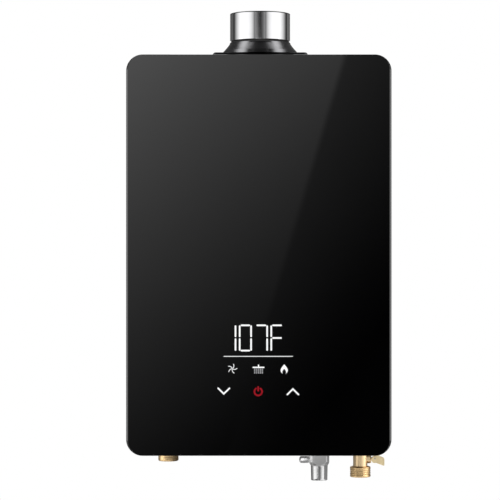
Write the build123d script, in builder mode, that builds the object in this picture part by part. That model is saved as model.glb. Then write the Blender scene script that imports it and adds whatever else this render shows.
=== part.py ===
from build123d import *
from math import acos, cos, degrees, radians, sin, tan
import os

# Wall-hung tankless gas water heater, in millimetres.
# +X is to the right seen from the front, +Y points into the wall, +Z is up.
# The origin is on the wall plane, at the middle of the back of the case.

# Round pipes, tubes and passages inside the case are drawn with this many flat sides
ROUND_SIDES = 12

# Case
PANEL_W = 335.0
PANEL_H = 508.0
PANEL_R = 21.0
GLASS_T = 4.0
GLASS_BEVEL = 2.0
CASE_DEPTH = 131.0
SHEET = 1.0
COVER_INSET = 1.0
COVER_DEPTH = 27.0
COVER_OVERLAP = 8.0
COVER_GAP = 0.3

COVER_W = PANEL_W - 2 * COVER_INSET
COVER_H = PANEL_H - 2 * COVER_INSET
COVER_R = PANEL_R - COVER_INSET
COVER_BACK = CASE_DEPTH - COVER_DEPTH
CHASSIS_SHRINK = SHEET + COVER_GAP
CHASSIS_W = COVER_W - 2 * CHASSIS_SHRINK
CHASSIS_H = COVER_H - 2 * CHASSIS_SHRINK
CHASSIS_R = COVER_R - CHASSIS_SHRINK
CHASSIS_DEPTH = COVER_BACK + COVER_OVERLAP
CHASSIS_TOP = CHASSIS_H / 2
CHASSIS_FLOOR = -CHASSIS_H / 2

# Wall fixings in the back of the chassis
KEYHOLE_SPACING = 180.0
KEYHOLE_Z = 205.0
KEYHOLE_R = 6.0
KEYHOLE_SLOT_R = 3.25
KEYHOLE_RISE = 13.0

# Air intake slots in both sides and in the floor of the chassis
LOUVRE_L = 34.0
LOUVRE_W = 4.0
LOUVRE_PITCH = 11.0
SIDE_LOUVRES = 7
SIDE_LOUVRE_Y = -62.0
SIDE_LOUVRE_Z = -170.0
FLOOR_LOUVRES = 5
FLOOR_LOUVRE_X = -30.0
FLOOR_LOUVRE_Y = -34.0

# Moulded bushing for the supply cord, in the floor
BUSHING_X = -72.0
BUSHING_Y = -90.0
BUSHING_W = 16.0
BUSHING_D = 12.0
BUSHING_LIP = 2.5
BUSHING_H = 10.0
CORD_SLOT_W = 8.0
CORD_SLOT_D = 5.0

# Display behind the glass
DISPLAY_Z = -133.0
DISPLAY_W = 106.0
DISPLAY_H = 94.0
GUIDE_T = 5.0
BOARD_T = 1.6
BOARD_MARGIN = 4.0
HOUSING_DEPTH = 11.0
HOUSING_WALL = 1.6

# Flue collar on top of the case
FLUE_X = 2.0
FLUE_Y = -53.0
FLUE_R = 39.2
FLUE_WALL = 0.8
FLUE_L = 36.3
FLANGE_W = 123.6
FLANGE_D = 100.0
FLANGE_H = 4.8
FLANGE_CHAMFER = 1.4
GASKET_T = 3.0
GASKET_INSET = 1.0
CONE_FOOT_R = 48.2
CONE_FOOT_H = 5.0
CONE_RISE = 13.5
FLUE_BORE_R = 37.0
PORT_W = 70.0
PORT_D = 52.0

GASKET_TOP = CHASSIS_TOP + GASKET_T
FLANGE_TOP = GASKET_TOP + FLANGE_H
FOOT_TOP = FLANGE_TOP + CONE_FOOT_H
CONE_TOP = FOOT_TOP + CONE_RISE

# Exhaust fan under the flue: a scroll of three tangent arcs with its axis along Y
SCROLL_R = 52.0
SCROLL_STEP = 4.0
SCROLL_LIP = 8.0
SCROLL_BACK = 26.0
SCROLL_W = 56.0
SCROLL_SHEET = 1.0
FAN_Z = 182.0
FAN_INLET_R = 32.0
BLADE_COUNT = 20
BLADE_IN_R = 34.0
BLADE_BEND_R = 39.5
BLADE_OUT_R = 43.5
BLADE_BEND_RISE = 1.6
BLADE_OUT_RISE = 6.5
BLADE_T = 1.2
WHEEL_R = 44.5
WHEEL_FRONT = 77.0
WHEEL_BACK = 35.0
WHEEL_PLATE_T = 1.5
HUB_R = 8.0
HUB_L = 18.0
SHAFT_R = 3.0
SHAFT_GAP = 0.05
SHAFT_L = 50.0
MOTOR_W = 50.0
MOTOR_CORNER = 8.0
MOTOR_L = 34.0
MOTOR_PLATE_R = 48.0
MOTOR_PLATE_T = 2.0
MOTOR_NECK_R = 12.0

OUTLET_W = SCROLL_R + 3 * SCROLL_STEP + SCROLL_LIP
FAN_X = FLUE_X - OUTLET_W / 2 + SCROLL_LIP
SCROLL_RIGHT = FAN_X + SCROLL_R + 3 * SCROLL_STEP
MOTOR_BACK = SCROLL_BACK + SCROLL_W

# Heat exchanger, combustion chamber and burner, stacked above one another
CORE_W = 212.0
CORE_D = 104.0
CORE_Y = -62.0
CORE_TOP = 96.0
CORE_BOTTOM = -36.0
CORE_SHEET = 1.0
HOOD_TOP = 124.0
RISER_W = 92.0
RISER_TOP = 226.0
RISER_BACK = 3.0
FIN_COUNT = 25
FIN_PITCH = 8.0
FIN_T = 0.8
FIN_D = 94.0
FIN_H = 44.0
FIN_Z = 72.0
TUBE_R = 8.0
TUBE_PITCH = 26.0
TUBE_COUNT = 4
TUBE_L = 224.0
HEADER_DEPTH = 10.0
HEADER_MARGIN = 1.5
HEADER_CHAMFER = 3.0
BURNER_H = 48.0
BAR_COUNT = 7
BAR_PITCH = 28.0
BAR_D = 90.0
BAR_DUCT_W = 14.0
BAR_DUCT_H = 14.0
BAR_DUCT_CHAMFER = 3.0
BAR_MOUTH_L = 25.0
BAR_SHEET = 1.5
BAR_WEB = 5.0
BAR_RAIL_W = 12.0
BAR_RAIL_H = 9.0
BAR_RAIL_END = 4.0
BAR_H = 38.0
RAIL_W = 8.0
RAIL_T = 3.0
BRACKET_W = 24.0
BRACKET_T = 2.0

CORE_FRONT = CORE_Y - CORE_D / 2
CORE_BACK = CORE_Y + CORE_D / 2
BURNER_BOTTOM = CORE_BOTTOM - BURNER_H
RAIL_TOP = BURNER_BOTTOM + RAIL_T
BAR_TOP = RAIL_TOP + BAR_H
BAR_DUCT_Z = RAIL_TOP + BAR_DUCT_H / 2
BAR_FRONT = CORE_Y - BAR_D / 2

# Electrodes in the front of the combustion chamber
ELECTRODE_SPACING = 56.0
ELECTRODE_Z = -28.0
INSULATOR_R = 3.5
INSULATOR_L = 16.0
INSULATOR_REACH = 6.0
ROD_R = 1.2
ROD_L = 30.0

# Gas train: manifold with nozzles, valve, pipe and the threaded inlet below the case
MANIFOLD_W = 252.0
MANIFOLD_H = 14.0
MANIFOLD_T = 10.0
MANIFOLD_BACK = 117.0
MANIFOLD_X = -24.0
NOZZLE_R = 4.5
NOZZLE_L = 9.0
GAS_X = -117.3
FITTING_Y = -62.0
VALVE_W = 66.0
VALVE_D = 60.0
VALVE_H = 70.0
VALVE_Z = -155.0
VALVE_CHAMFER = 5.0
COIL_W = 28.0
COIL_L = 30.0
COIL_SPREAD = 17.0
PLUNGER_W = 9.0
PLUNGER_L = 28.0
PLUNGER_GAP = 0.1
PLUNGER_POCKET_GAP = 0.6
PLUNGER_POCKET = 8.0
PLUNGER_REACH = 5.0
GAS_PIPE_R = 7.0
GAS_THREAD_R = 13.2
GAS_END_Z = -268.6
GAS_END_CHAMFER = 1.6
GAS_BORE_R = 7.5
NECK_W = 18.0

VALVE_FRONT = VALVE_D / 2 - FITTING_Y
VALVE_TOP = VALVE_Z + VALVE_H / 2
VALVE_BOTTOM = VALVE_Z - VALVE_H / 2

# Cold water inlet with its drain plug and flow sensor
COLD_X = 78.9
COLD_THREAD_R = 10.5
COLD_END_Z = -292.8
COLD_BORE_R = 7.3
COLD_BODY_W = 26.0
COLD_BODY_CHAMFER = 3.3
COLD_SHOULDER_Z = -275.2
COLD_SHOULDER_SLOPE = 0.727
DRAIN_Z = -266.2
DRAIN_HEAD_R = 4.4
DRAIN_HEAD_L = 11.2
DRAIN_SHANK_R = 3.0
DRAIN_SHANK_L = 7.0
DRAIN_BORE_GAP = 0.08
DRAIN_SEAL_T = 1.3
DRAIN_SEAL_BORE_R = 3.3
DRAIN_GAP = 0.3
SENSOR_W = 34.0
SENSOR_BOTTOM = -243.0
SENSOR_H = 62.0
SENSOR_CHAMFER = 4.0
TURBINE_ROOM_R = 13.5
TURBINE_ROOM_H = 20.0
TURBINE_H = 13.0
TURBINE_HUB_R = 4.0
TURBINE_BLADES = 6
TURBINE_BLADE_L = 9.8
TURBINE_BLADE_R = 7.3
TURBINE_BLADE_T = 1.4
TURBINE_BLADE_H = 11.0
TURBINE_BLADE_TILT = 30.0
AXLE_R = 1.5
AXLE_GAP = 0.08
AXLE_BAR_L = 26.6
AXLE_BAR_W = 3.0
AXLE_BAR_T = 2.0
PICKUP_W = 16.0
PICKUP_D = 8.0
PICKUP_H = 22.0

ROOM_Z = SENSOR_BOTTOM + SENSOR_H / 2
DRAIN_SHOULDER_X = COLD_X - COLD_BODY_W / 2 - 2 * DRAIN_GAP - DRAIN_SEAL_T

# Hot water outlet with its relief valve
HOT_X = 132.3
HOT_TUBE_R = 9.3
HOT_THREAD_R = 13.45
HOT_THREAD_TOP = -275.0
HOT_END_Z = -288.5
HOT_TUBE_TOP = -214.0
RELIEF_Z = -264.5
RELIEF_BODY_R = 5.8
RELIEF_BOSS_X = 145.2
RELIEF_SEAT_X = 139.8
RELIEF_SEAT_R = 2.0
RELIEF_ROOM_R = 4.6
RELIEF_CAP_T = 1.0
RELIEF_STEM_R = 1.2
RELIEF_STEM_GAP = 0.1
RELIEF_DISC_R = 3.6
RELIEF_DISC_T = 1.2
RELIEF_DISC_GAP = 0.3
SPRING_R = 4.0
SPRING_WALL = 0.7
LEVER_PIN_X = 151.25
LEVER_TILT = 21.0
LEVER_W = 9.7
LEVER_L = 13.2
LEVER_T = 6.0
LEVER_SLOT = 3.6
LEVER_SLOT_L = 3.2
LEVER_HEEL_R = 4.4
LEVER_HEEL_U = 0.3
LEVER_HEEL_V = -1.6
LEVER_EDGE = 1.0
PIN_R = 1.0
PIN_GAP = 0.06
EYE_R = 2.4
EYE_T = 3.0

DISC_X = RELIEF_SEAT_X + RELIEF_DISC_GAP
SPRING_X = DISC_X + RELIEF_DISC_T + RELIEF_DISC_GAP
SPRING_L = RELIEF_BOSS_X - SPRING_X

# Copper pipes between the fittings and the heat exchanger, with mitred soldered elbows
PIPE_R = 6.35
PIPE_LAP = 6.0
COLD_PIPE_X = 141.0
COLD_PIPE_Y = CORE_Y - (TUBE_COUNT - 1) / 2 * TUBE_PITCH
COLD_PIPE_Z = -140.0
COLD_PIPE_START = SENSOR_BOTTOM + SENSOR_H - PIPE_LAP
HOT_PIPE_Y = CORE_Y + (TUBE_COUNT - 1) / 2 * TUBE_PITCH
HOT_PIPE_Z = -196.0
HOT_PIPE_START = HOT_TUBE_TOP - PIPE_LAP

# Electrics
BOX_W = 96.0
BOX_D = 46.0
BOX_H = 104.0
BOX_X = 4.0
BOX_Z = -176.0
BOX_WALL = 2.0
LID_T = 2.5
MAIN_BOARD_GAP = 14.0
SPARK_W = 44.0
SPARK_D = 24.0
SPARK_H = 34.0
AIR_SWITCH_R = 21.0
AIR_SWITCH_T = 20.0
AIR_SWITCH_Z = 208.0
NIPPLE_R = 4.0
NIPPLE_L = 8.0
CUTOUT_W = 16.0
CUTOUT_T = 7.0


# Casing

# Black tempered glass that covers the whole front, with a polished bevel all round.
with BuildPart() as glass_panel:
    with BuildSketch(Plane.XZ.offset(CASE_DEPTH)):
        RectangleRounded(PANEL_W, PANEL_H, PANEL_R)
    extrude(amount=GLASS_T)
    chamfer(glass_panel.faces().sort_by(Axis.Y)[0].edges(), GLASS_BEVEL)

# Shallow pressed steel lid that carries the glass and slides over the chassis.
with BuildPart() as front_cover:
    with BuildSketch(Plane.XZ.offset(COVER_BACK)):
        RectangleRounded(COVER_W, COVER_H, COVER_R)
    extrude(amount=COVER_DEPTH)
    offset(amount=-SHEET, openings=front_cover.faces().sort_by(Axis.Y)[-1])
    with BuildSketch(Plane.XZ.offset(CASE_DEPTH)):
        with Locations((0, DISPLAY_Z)):
            Rectangle(DISPLAY_W, DISPLAY_H)
    extrude(amount=-2 * SHEET, mode=Mode.SUBTRACT)

# Deep steel tray that hangs on the wall and holds everything else.
with BuildPart() as chassis:
    with BuildSketch(Plane.XZ):
        RectangleRounded(CHASSIS_W, CHASSIS_H, CHASSIS_R)
    extrude(amount=CHASSIS_DEPTH)
    offset(amount=-SHEET, openings=chassis.faces().sort_by(Axis.Y)[0])
    # square openings: flue port in the roof, fitting necks and cord bushing in the floor
    with Locations((FLUE_X, FLUE_Y, CHASSIS_TOP)):
        Box(PORT_W, PORT_D, 4 * SHEET, mode=Mode.SUBTRACT)
    for fitting_x in (GAS_X, COLD_X, HOT_X):
        with Locations((fitting_x, FITTING_Y, CHASSIS_FLOOR)):
            Box(NECK_W, NECK_W, 4 * SHEET, mode=Mode.SUBTRACT)
    with Locations((BUSHING_X, BUSHING_Y, CHASSIS_FLOOR)):
        Box(BUSHING_W, BUSHING_D, 4 * SHEET, mode=Mode.SUBTRACT)
    # hanging keyholes near the top of the back
    with BuildSketch(Plane.XZ):
        with Locations((0, KEYHOLE_Z)):
            with GridLocations(KEYHOLE_SPACING, 0, 2, 1):
                Circle(KEYHOLE_R)
        with Locations((0, KEYHOLE_Z + KEYHOLE_RISE / 2)):
            with GridLocations(KEYHOLE_SPACING, 0, 2, 1):
                SlotCenterToCenter(KEYHOLE_RISE, 2 * KEYHOLE_SLOT_R, rotation=90)
    extrude(amount=2 * SHEET, mode=Mode.SUBTRACT)
    # air intake slots through both side walls at once, then through the floor
    with BuildSketch(Plane.YZ):
        with Locations((SIDE_LOUVRE_Y, SIDE_LOUVRE_Z)):
            with GridLocations(0, LOUVRE_PITCH, 1, SIDE_LOUVRES):
                Rectangle(LOUVRE_L, LOUVRE_W)
    extrude(amount=CHASSIS_W, both=True, mode=Mode.SUBTRACT)
    with BuildSketch(Plane.XY.offset(CHASSIS_FLOOR)):
        with Locations((FLOOR_LOUVRE_X, FLOOR_LOUVRE_Y)):
            with GridLocations(LOUVRE_PITCH, 0, FLOOR_LOUVRES, 1):
                Rectangle(LOUVRE_W, LOUVRE_L)
    extrude(amount=2 * SHEET, mode=Mode.SUBTRACT)

# Moulded bushing in the floor, with a slot for a flat supply cord.
with BuildPart() as cord_bushing:
    with BuildSketch(Plane.XY.offset(CHASSIS_FLOOR)):
        with Locations((BUSHING_X, BUSHING_Y)):
            Rectangle(BUSHING_W + 2 * BUSHING_LIP, BUSHING_D + 2 * BUSHING_LIP)
    extrude(amount=-BUSHING_LIP)
    with BuildSketch(Plane.XY.offset(CHASSIS_FLOOR)):
        with Locations((BUSHING_X, BUSHING_Y)):
            Rectangle(BUSHING_W, BUSHING_D)
    extrude(amount=BUSHING_H)
    with Locations((BUSHING_X, BUSHING_Y, CHASSIS_FLOOR)):
        Box(CORD_SLOT_W, CORD_SLOT_D, 4 * BUSHING_H, mode=Mode.SUBTRACT)


# Display

# Clear block that carries the light of the digits and symbols to the glass.
with BuildPart() as display_lightguide:
    with BuildSketch(Plane.XZ.offset(CASE_DEPTH)):
        with Locations((0, DISPLAY_Z)):
            Rectangle(DISPLAY_W - 2 * COVER_GAP, DISPLAY_H - 2 * COVER_GAP)
    extrude(amount=-GUIDE_T)

# Circuit board with the lamps and the touch pads, pressed against the light guide.
with BuildPart() as display_board:
    with BuildSketch(Plane.XZ.offset(CASE_DEPTH - GUIDE_T)):
        with Locations((0, DISPLAY_Z)):
            Rectangle(DISPLAY_W + BOARD_MARGIN, DISPLAY_H + BOARD_MARGIN)
    extrude(amount=-BOARD_T)

# Moulded back with an inner ledge, which clips the board to the inside of the cover.
with BuildPart() as display_housing:
    with BuildSketch(Plane.XZ.offset(CASE_DEPTH - SHEET)):
        with Locations((0, DISPLAY_Z)):
            Rectangle(DISPLAY_W + 2 * BOARD_MARGIN, DISPLAY_H + 2 * BOARD_MARGIN)
    extrude(amount=-HOUSING_DEPTH)
    offset(amount=-HOUSING_WALL, openings=display_housing.faces().sort_by(Axis.Y)[0])
    with BuildSketch(Plane.XZ.offset(CASE_DEPTH - GUIDE_T - BOARD_T)):
        with Locations((0, DISPLAY_Z)):
            Rectangle(DISPLAY_W + BOARD_MARGIN, DISPLAY_H + BOARD_MARGIN)
            Rectangle(DISPLAY_W, DISPLAY_H, mode=Mode.SUBTRACT)
    extrude(amount=-(HOUSING_DEPTH - GUIDE_T - BOARD_T))


# Flue collar

# Soft gasket between the roof and the flue flange.
with BuildPart() as flue_gasket:
    with BuildSketch(Plane.XY.offset(CHASSIS_TOP)):
        with Locations((FLUE_X, FLUE_Y)):
            Rectangle(FLANGE_W - 2 * GASKET_INSET, FLANGE_D - 2 * GASKET_INSET)
            Rectangle(PORT_W, PORT_D, mode=Mode.SUBTRACT)
    extrude(amount=GASKET_T)

# Cast flange with chamfered edges that rises to a cone under the sleeve.
with BuildPart() as flue_base:
    with BuildSketch(Plane.XY.offset(GASKET_TOP)):
        with Locations((FLUE_X, FLUE_Y)):
            Rectangle(FLANGE_W, FLANGE_D)
    extrude(amount=FLANGE_H)
    chamfer(flue_base.faces().sort_by(Axis.Z)[-1].edges(), FLANGE_CHAMFER)
    with BuildSketch(Plane.XZ.offset(-FLUE_Y)):
        with BuildLine():
            Polyline(
                (FLUE_X, GASKET_TOP),
                (FLUE_X + CONE_FOOT_R, GASKET_TOP),
                (FLUE_X + CONE_FOOT_R, FOOT_TOP),
                (FLUE_X + FLUE_R, CONE_TOP),
                (FLUE_X, CONE_TOP),
                close=True,
            )
        make_face()
    revolve(axis=Axis((FLUE_X, FLUE_Y, 0), (0, 0, 1)))
    with BuildSketch(Plane.XY.offset(GASKET_TOP)):
        with Locations((FLUE_X, FLUE_Y)):
            Circle(FLUE_BORE_R)
    extrude(amount=CONE_TOP - GASKET_TOP, mode=Mode.SUBTRACT)

# Polished steel sleeve that the vent pipe slips over.
with BuildPart() as flue_sleeve:
    with BuildSketch(Plane.XY.offset(CONE_TOP)):
        with Locations((FLUE_X, FLUE_Y)):
            Circle(FLUE_R)
            Circle(FLUE_R - FLUE_WALL, mode=Mode.SUBTRACT)
    extrude(amount=FLUE_L)


# Exhaust fan

# Sheet metal scroll, open at the top to the flue and at the back to the hood.
with BuildPart() as fan_volute:
    with BuildSketch(Plane.XZ.offset(SCROLL_BACK)):
        with BuildLine():
            lip_angle = degrees(acos(-SCROLL_LIP / SCROLL_R))
            roof = CHASSIS_TOP - SHEET
            lip = CenterArc((FAN_X, FAN_Z), SCROLL_R, lip_angle, 180 - lip_angle)
            CenterArc((FAN_X + SCROLL_STEP, FAN_Z), SCROLL_R + SCROLL_STEP, 180, 90)
            CenterArc((FAN_X + SCROLL_STEP, FAN_Z + SCROLL_STEP), SCROLL_R + 2 * SCROLL_STEP, 270, 90)
            Polyline(
                (SCROLL_RIGHT, FAN_Z + SCROLL_STEP),
                (SCROLL_RIGHT, roof),
                (FAN_X - SCROLL_LIP, roof),
                lip @ 0,
            )
        make_face()
    extrude(amount=SCROLL_W)
    offset(amount=-SCROLL_SHEET, openings=fan_volute.faces().sort_by(Axis.Z)[-1])
    with BuildSketch(Plane.XZ.offset(SCROLL_BACK)):
        with Locations((FAN_X, FAN_Z)):
            RegularPolygon(FAN_INLET_R, 2 * ROUND_SIDES)
    extrude(amount=2 * SCROLL_SHEET, mode=Mode.SUBTRACT)
    with BuildSketch(Plane.XZ.offset(MOTOR_BACK)):
        with Locations((FAN_X, FAN_Z)):
            RegularPolygon(MOTOR_NECK_R, 6)
    extrude(amount=-2 * SCROLL_SHEET, mode=Mode.SUBTRACT)

# Fan wheel: a plate with one side per blade, its hub, and blades bent forward at the tip.
with BuildPart() as fan_impeller:
    with BuildSketch(Plane.XZ.offset(WHEEL_FRONT)):
        with Locations((FAN_X, FAN_Z)):
            RegularPolygon(WHEEL_R, BLADE_COUNT)
    extrude(amount=-WHEEL_PLATE_T)
    with BuildSketch(Plane.XZ.offset(WHEEL_FRONT)):
        with Locations((FAN_X, FAN_Z)):
            RegularPolygon(HUB_R, 6)
    extrude(amount=-HUB_L)
    with BuildSketch(Plane.XZ.offset(WHEEL_BACK)):
        with BuildSketch(mode=Mode.PRIVATE) as blade:
            with BuildLine():
                Polyline(
                    (BLADE_IN_R, 0),
                    (BLADE_BEND_R, BLADE_BEND_RISE),
                    (BLADE_OUT_R, BLADE_OUT_RISE),
                    (BLADE_OUT_R - BLADE_T, BLADE_OUT_RISE + BLADE_T / 2),
                    (BLADE_BEND_R - BLADE_T / 2, BLADE_BEND_RISE + BLADE_T),
                    (BLADE_IN_R, BLADE_T),
                    close=True,
                )
            make_face()
        with Locations((FAN_X, FAN_Z)):
            with PolarLocations(0, BLADE_COUNT):
                add(blade.sketch)
    extrude(amount=WHEEL_FRONT - WHEEL_BACK - WHEEL_PLATE_T)
    with BuildSketch(Plane.XZ.offset(WHEEL_FRONT)):
        with Locations((FAN_X, FAN_Z)):
            Circle(SHAFT_R)
    extrude(amount=-HUB_L, mode=Mode.SUBTRACT)

# Motor shaft, pressed into the hub.
with BuildPart() as fan_shaft:
    with BuildSketch(Plane.XZ.offset(WHEEL_FRONT - HUB_L)):
        with Locations((FAN_X, FAN_Z)):
            Circle(SHAFT_R)
    extrude(amount=SHAFT_L)

# Laminated motor with its three-cornered mounting plate on the front of the scroll.
with BuildPart() as fan_motor:
    with BuildSketch(Plane.XZ.offset(MOTOR_BACK)):
        with Locations((FAN_X, FAN_Z)):
            RegularPolygon(MOTOR_PLATE_R, 3, rotation=90)
    extrude(amount=MOTOR_PLATE_T)
    with BuildSketch(Plane.XZ.offset(MOTOR_BACK)):
        with Locations((FAN_X, FAN_Z)):
            Rectangle(MOTOR_W, MOTOR_W)
        chamfer(vertices(), MOTOR_CORNER)
    extrude(amount=MOTOR_PLATE_T + MOTOR_L)
    with BuildSketch(Plane.XZ.offset(MOTOR_BACK)):
        with Locations((FAN_X, FAN_Z)):
            Circle(SHAFT_R + SHAFT_GAP)
    extrude(amount=WHEEL_FRONT - HUB_L + SHAFT_L - MOTOR_BACK + 1, mode=Mode.SUBTRACT)


# Heat path

# Hood that gathers the exhaust and leads it up behind the scroll to the fan inlet.
with BuildPart() as exhaust_hood:
    riser_left = FAN_X - RISER_W / 2
    riser_right = FAN_X + RISER_W / 2
    with BuildSketch(Plane.XZ.offset(-CORE_FRONT)):
        with BuildLine():
            Polyline(
                (-CORE_W / 2, CORE_TOP),
                (CORE_W / 2, CORE_TOP),
                (riser_right, HOOD_TOP),
                (riser_right, RISER_TOP),
                (riser_left, RISER_TOP),
                (riser_left, HOOD_TOP),
                close=True,
            )
        make_face()
    extrude(amount=CORE_FRONT + RISER_BACK)
    with BuildSketch(Plane.YZ.offset(-CORE_W / 2)):
        with BuildLine():
            Polyline(
                (CORE_FRONT, CORE_TOP),
                (CORE_BACK, CORE_TOP),
                (-RISER_BACK, HOOD_TOP),
                (-RISER_BACK, RISER_TOP),
                (-SCROLL_BACK, RISER_TOP),
                (-SCROLL_BACK, HOOD_TOP),
                close=True,
            )
        make_face()
    extrude(amount=CORE_W, mode=Mode.INTERSECT)
    offset(amount=-CORE_SHEET, openings=exhaust_hood.faces().sort_by(Axis.Z)[0])
    with BuildSketch(Plane.XZ.offset(SCROLL_BACK)):
        with Locations((FAN_X, FAN_Z)):
            RegularPolygon(FAN_INLET_R, 2 * ROUND_SIDES)
    extrude(amount=-2 * CORE_SHEET, mode=Mode.SUBTRACT)

# Stack of copper fins pressed on the tubes.
with BuildPart() as exchanger_fins:
    with Locations((0, CORE_Y, FIN_Z)):
        with GridLocations(FIN_PITCH, 0, FIN_COUNT, 1):
            Box(FIN_T, FIN_D, FIN_H)

# Four straight tubes that carry the water through the fins.
with BuildPart() as exchanger_tubes:
    with BuildSketch(Plane.YZ.offset(-TUBE_L / 2)):
        with Locations((CORE_Y, FIN_Z)):
            with GridLocations(TUBE_PITCH, 0, TUBE_COUNT, 1):
                RegularPolygon(TUBE_R, ROUND_SIDES)
    extrude(amount=TUBE_L)

# Pressed headers that turn the water from one tube into the next: two left, one right.
with BuildPart() as exchanger_headers:
    for side, turns in ((-1, (-1, 1)), (1, (0,))):
        with BuildSketch(Plane.YZ.offset(side * TUBE_L / 2)):
            for turn in turns:
                with Locations((CORE_Y + turn * TUBE_PITCH, FIN_Z)):
                    Rectangle(
                        TUBE_PITCH + 2 * (TUBE_R + HEADER_MARGIN),
                        2 * (TUBE_R + HEADER_MARGIN),
                    )
            chamfer(vertices(), HEADER_CHAMFER)
        extrude(amount=side * HEADER_DEPTH)

# Copper sheet shaft around the flame and the fins.
with BuildPart() as combustion_chamber:
    with BuildSketch(Plane.XY.offset(CORE_BOTTOM)):
        with Locations((0, CORE_Y)):
            Rectangle(CORE_W, CORE_D)
            Rectangle(CORE_W - 2 * CORE_SHEET, CORE_D - 2 * CORE_SHEET, mode=Mode.SUBTRACT)
    extrude(amount=CORE_TOP - CORE_BOTTOM)
    with BuildSketch(Plane.YZ):
        with Locations((CORE_Y, FIN_Z)):
            with GridLocations(TUBE_PITCH, 0, TUBE_COUNT, 1):
                RegularPolygon(TUBE_R, ROUND_SIDES)
    extrude(amount=CORE_W, both=True, mode=Mode.SUBTRACT)
    with BuildSketch(Plane.XZ.offset(-CORE_FRONT)):
        with Locations((0, ELECTRODE_Z)):
            with GridLocations(ELECTRODE_SPACING, 0, 2, 1):
                RegularPolygon(INSULATOR_R, 6)
    extrude(amount=-2 * CORE_SHEET, mode=Mode.SUBTRACT)

# Two channels that hold the chamber off the back of the chassis.
with BuildPart() as chamber_brackets:
    reach = -CORE_BACK - SHEET
    with BuildSketch(Plane.XY.offset(CORE_BOTTOM)):
        with Locations((0, -SHEET - reach / 2)):
            with GridLocations(CORE_W - 2 * BRACKET_W, 0, 2, 1):
                Rectangle(BRACKET_W, reach)
                with Locations((0, BRACKET_T / 2)):
                    Rectangle(BRACKET_W - 2 * BRACKET_T, reach - BRACKET_T, mode=Mode.SUBTRACT)
    extrude(amount=CORE_TOP - CORE_BOTTOM)

# Frame under the chamber: two rails for the burner bars and an air window in front of them.
with BuildPart() as burner_frame:
    with BuildSketch(Plane.XY.offset(BURNER_BOTTOM)):
        with Locations((0, CORE_Y)):
            Rectangle(CORE_W, CORE_D)
            Rectangle(CORE_W - 2 * CORE_SHEET, CORE_D - 2 * CORE_SHEET, mode=Mode.SUBTRACT)
    extrude(amount=BURNER_H)
    with BuildSketch(Plane.XY.offset(BURNER_BOTTOM)):
        with Locations((0, CORE_Y)):
            with GridLocations(0, CORE_D - 4 * RAIL_W, 1, 2):
                Rectangle(CORE_W - CORE_SHEET, RAIL_W)
    extrude(amount=RAIL_T)
    with BuildSketch(Plane.XZ.offset(-CORE_FRONT)):
        with Locations((0, BAR_DUCT_Z)):
            Rectangle(BAR_COUNT * BAR_PITCH, BAR_DUCT_H)
    extrude(amount=-2 * CORE_SHEET, mode=Mode.SUBTRACT)

# Pressed steel burner bars: mixing duct below, thin web, slotted flame rail on top.
with BuildPart() as burner_bars:
    with BuildSketch(Plane.XZ.offset(-BAR_FRONT)):
        with Locations((0, BAR_DUCT_Z)):
            with GridLocations(BAR_PITCH, 0, BAR_COUNT, 1):
                Rectangle(BAR_DUCT_W, BAR_DUCT_H)
        chamfer(vertices(), BAR_DUCT_CHAMFER)
        with Locations((0, (BAR_DUCT_Z + BAR_TOP) / 2)):
            with GridLocations(BAR_PITCH, 0, BAR_COUNT, 1):
                Rectangle(BAR_WEB, BAR_TOP - BAR_DUCT_Z)
        with Locations((0, BAR_TOP - BAR_RAIL_H / 2)):
            with GridLocations(BAR_PITCH, 0, BAR_COUNT, 1):
                Rectangle(BAR_RAIL_W, BAR_RAIL_H)
    extrude(amount=-BAR_D)
    with BuildSketch(Plane.XZ.offset(-BAR_FRONT)):
        with Locations((0, BAR_DUCT_Z)):
            with GridLocations(BAR_PITCH, 0, BAR_COUNT, 1):
                Rectangle(BAR_DUCT_W - 2 * BAR_SHEET, BAR_DUCT_H - 2 * BAR_SHEET)
    extrude(amount=-BAR_MOUTH_L, mode=Mode.SUBTRACT)
    with BuildSketch(Plane.XY.offset(BAR_TOP)):
        with Locations((0, CORE_Y)):
            with GridLocations(BAR_PITCH, 0, BAR_COUNT, 1):
                Rectangle(BAR_WEB - 2 * BAR_SHEET, BAR_D - 2 * BAR_RAIL_END)
    extrude(amount=-BAR_RAIL_H, mode=Mode.SUBTRACT)

# Six-sided ceramic bodies of the spark and flame-sensing electrodes.
with BuildPart() as electrode_insulators:
    with BuildSketch(Plane.XZ.offset(-CORE_FRONT - INSULATOR_REACH)):
        with Locations((0, ELECTRODE_Z)):
            with GridLocations(ELECTRODE_SPACING, 0, 2, 1):
                RegularPolygon(INSULATOR_R, 6)
    extrude(amount=INSULATOR_L)

# Steel rods that reach from the ceramic bodies into the flame.
with BuildPart() as electrode_rods:
    with BuildSketch(Plane.XZ.offset(-CORE_FRONT - INSULATOR_REACH)):
        with Locations((0, ELECTRODE_Z)):
            with GridLocations(ELECTRODE_SPACING, 0, 2, 1):
                RegularPolygon(ROD_R, 6)
    extrude(amount=-ROD_L)


# Gas train

# Aluminium bar in front of the burner that feeds every nozzle.
with BuildPart() as gas_manifold:
    with Locations((MANIFOLD_X, -MANIFOLD_BACK - MANIFOLD_T / 2, BAR_DUCT_Z)):
        Box(MANIFOLD_W, MANIFOLD_T, MANIFOLD_H)

# Six-sided brass nozzles that point into the mouths of the burner bars.
with BuildPart() as gas_nozzles:
    with BuildSketch(Plane.XZ.offset(MANIFOLD_BACK)):
        with Locations((0, BAR_DUCT_Z)):
            with GridLocations(BAR_PITCH, 0, BAR_COUNT, 1):
                RegularPolygon(NOZZLE_R, 6)
    extrude(amount=-NOZZLE_L)

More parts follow.
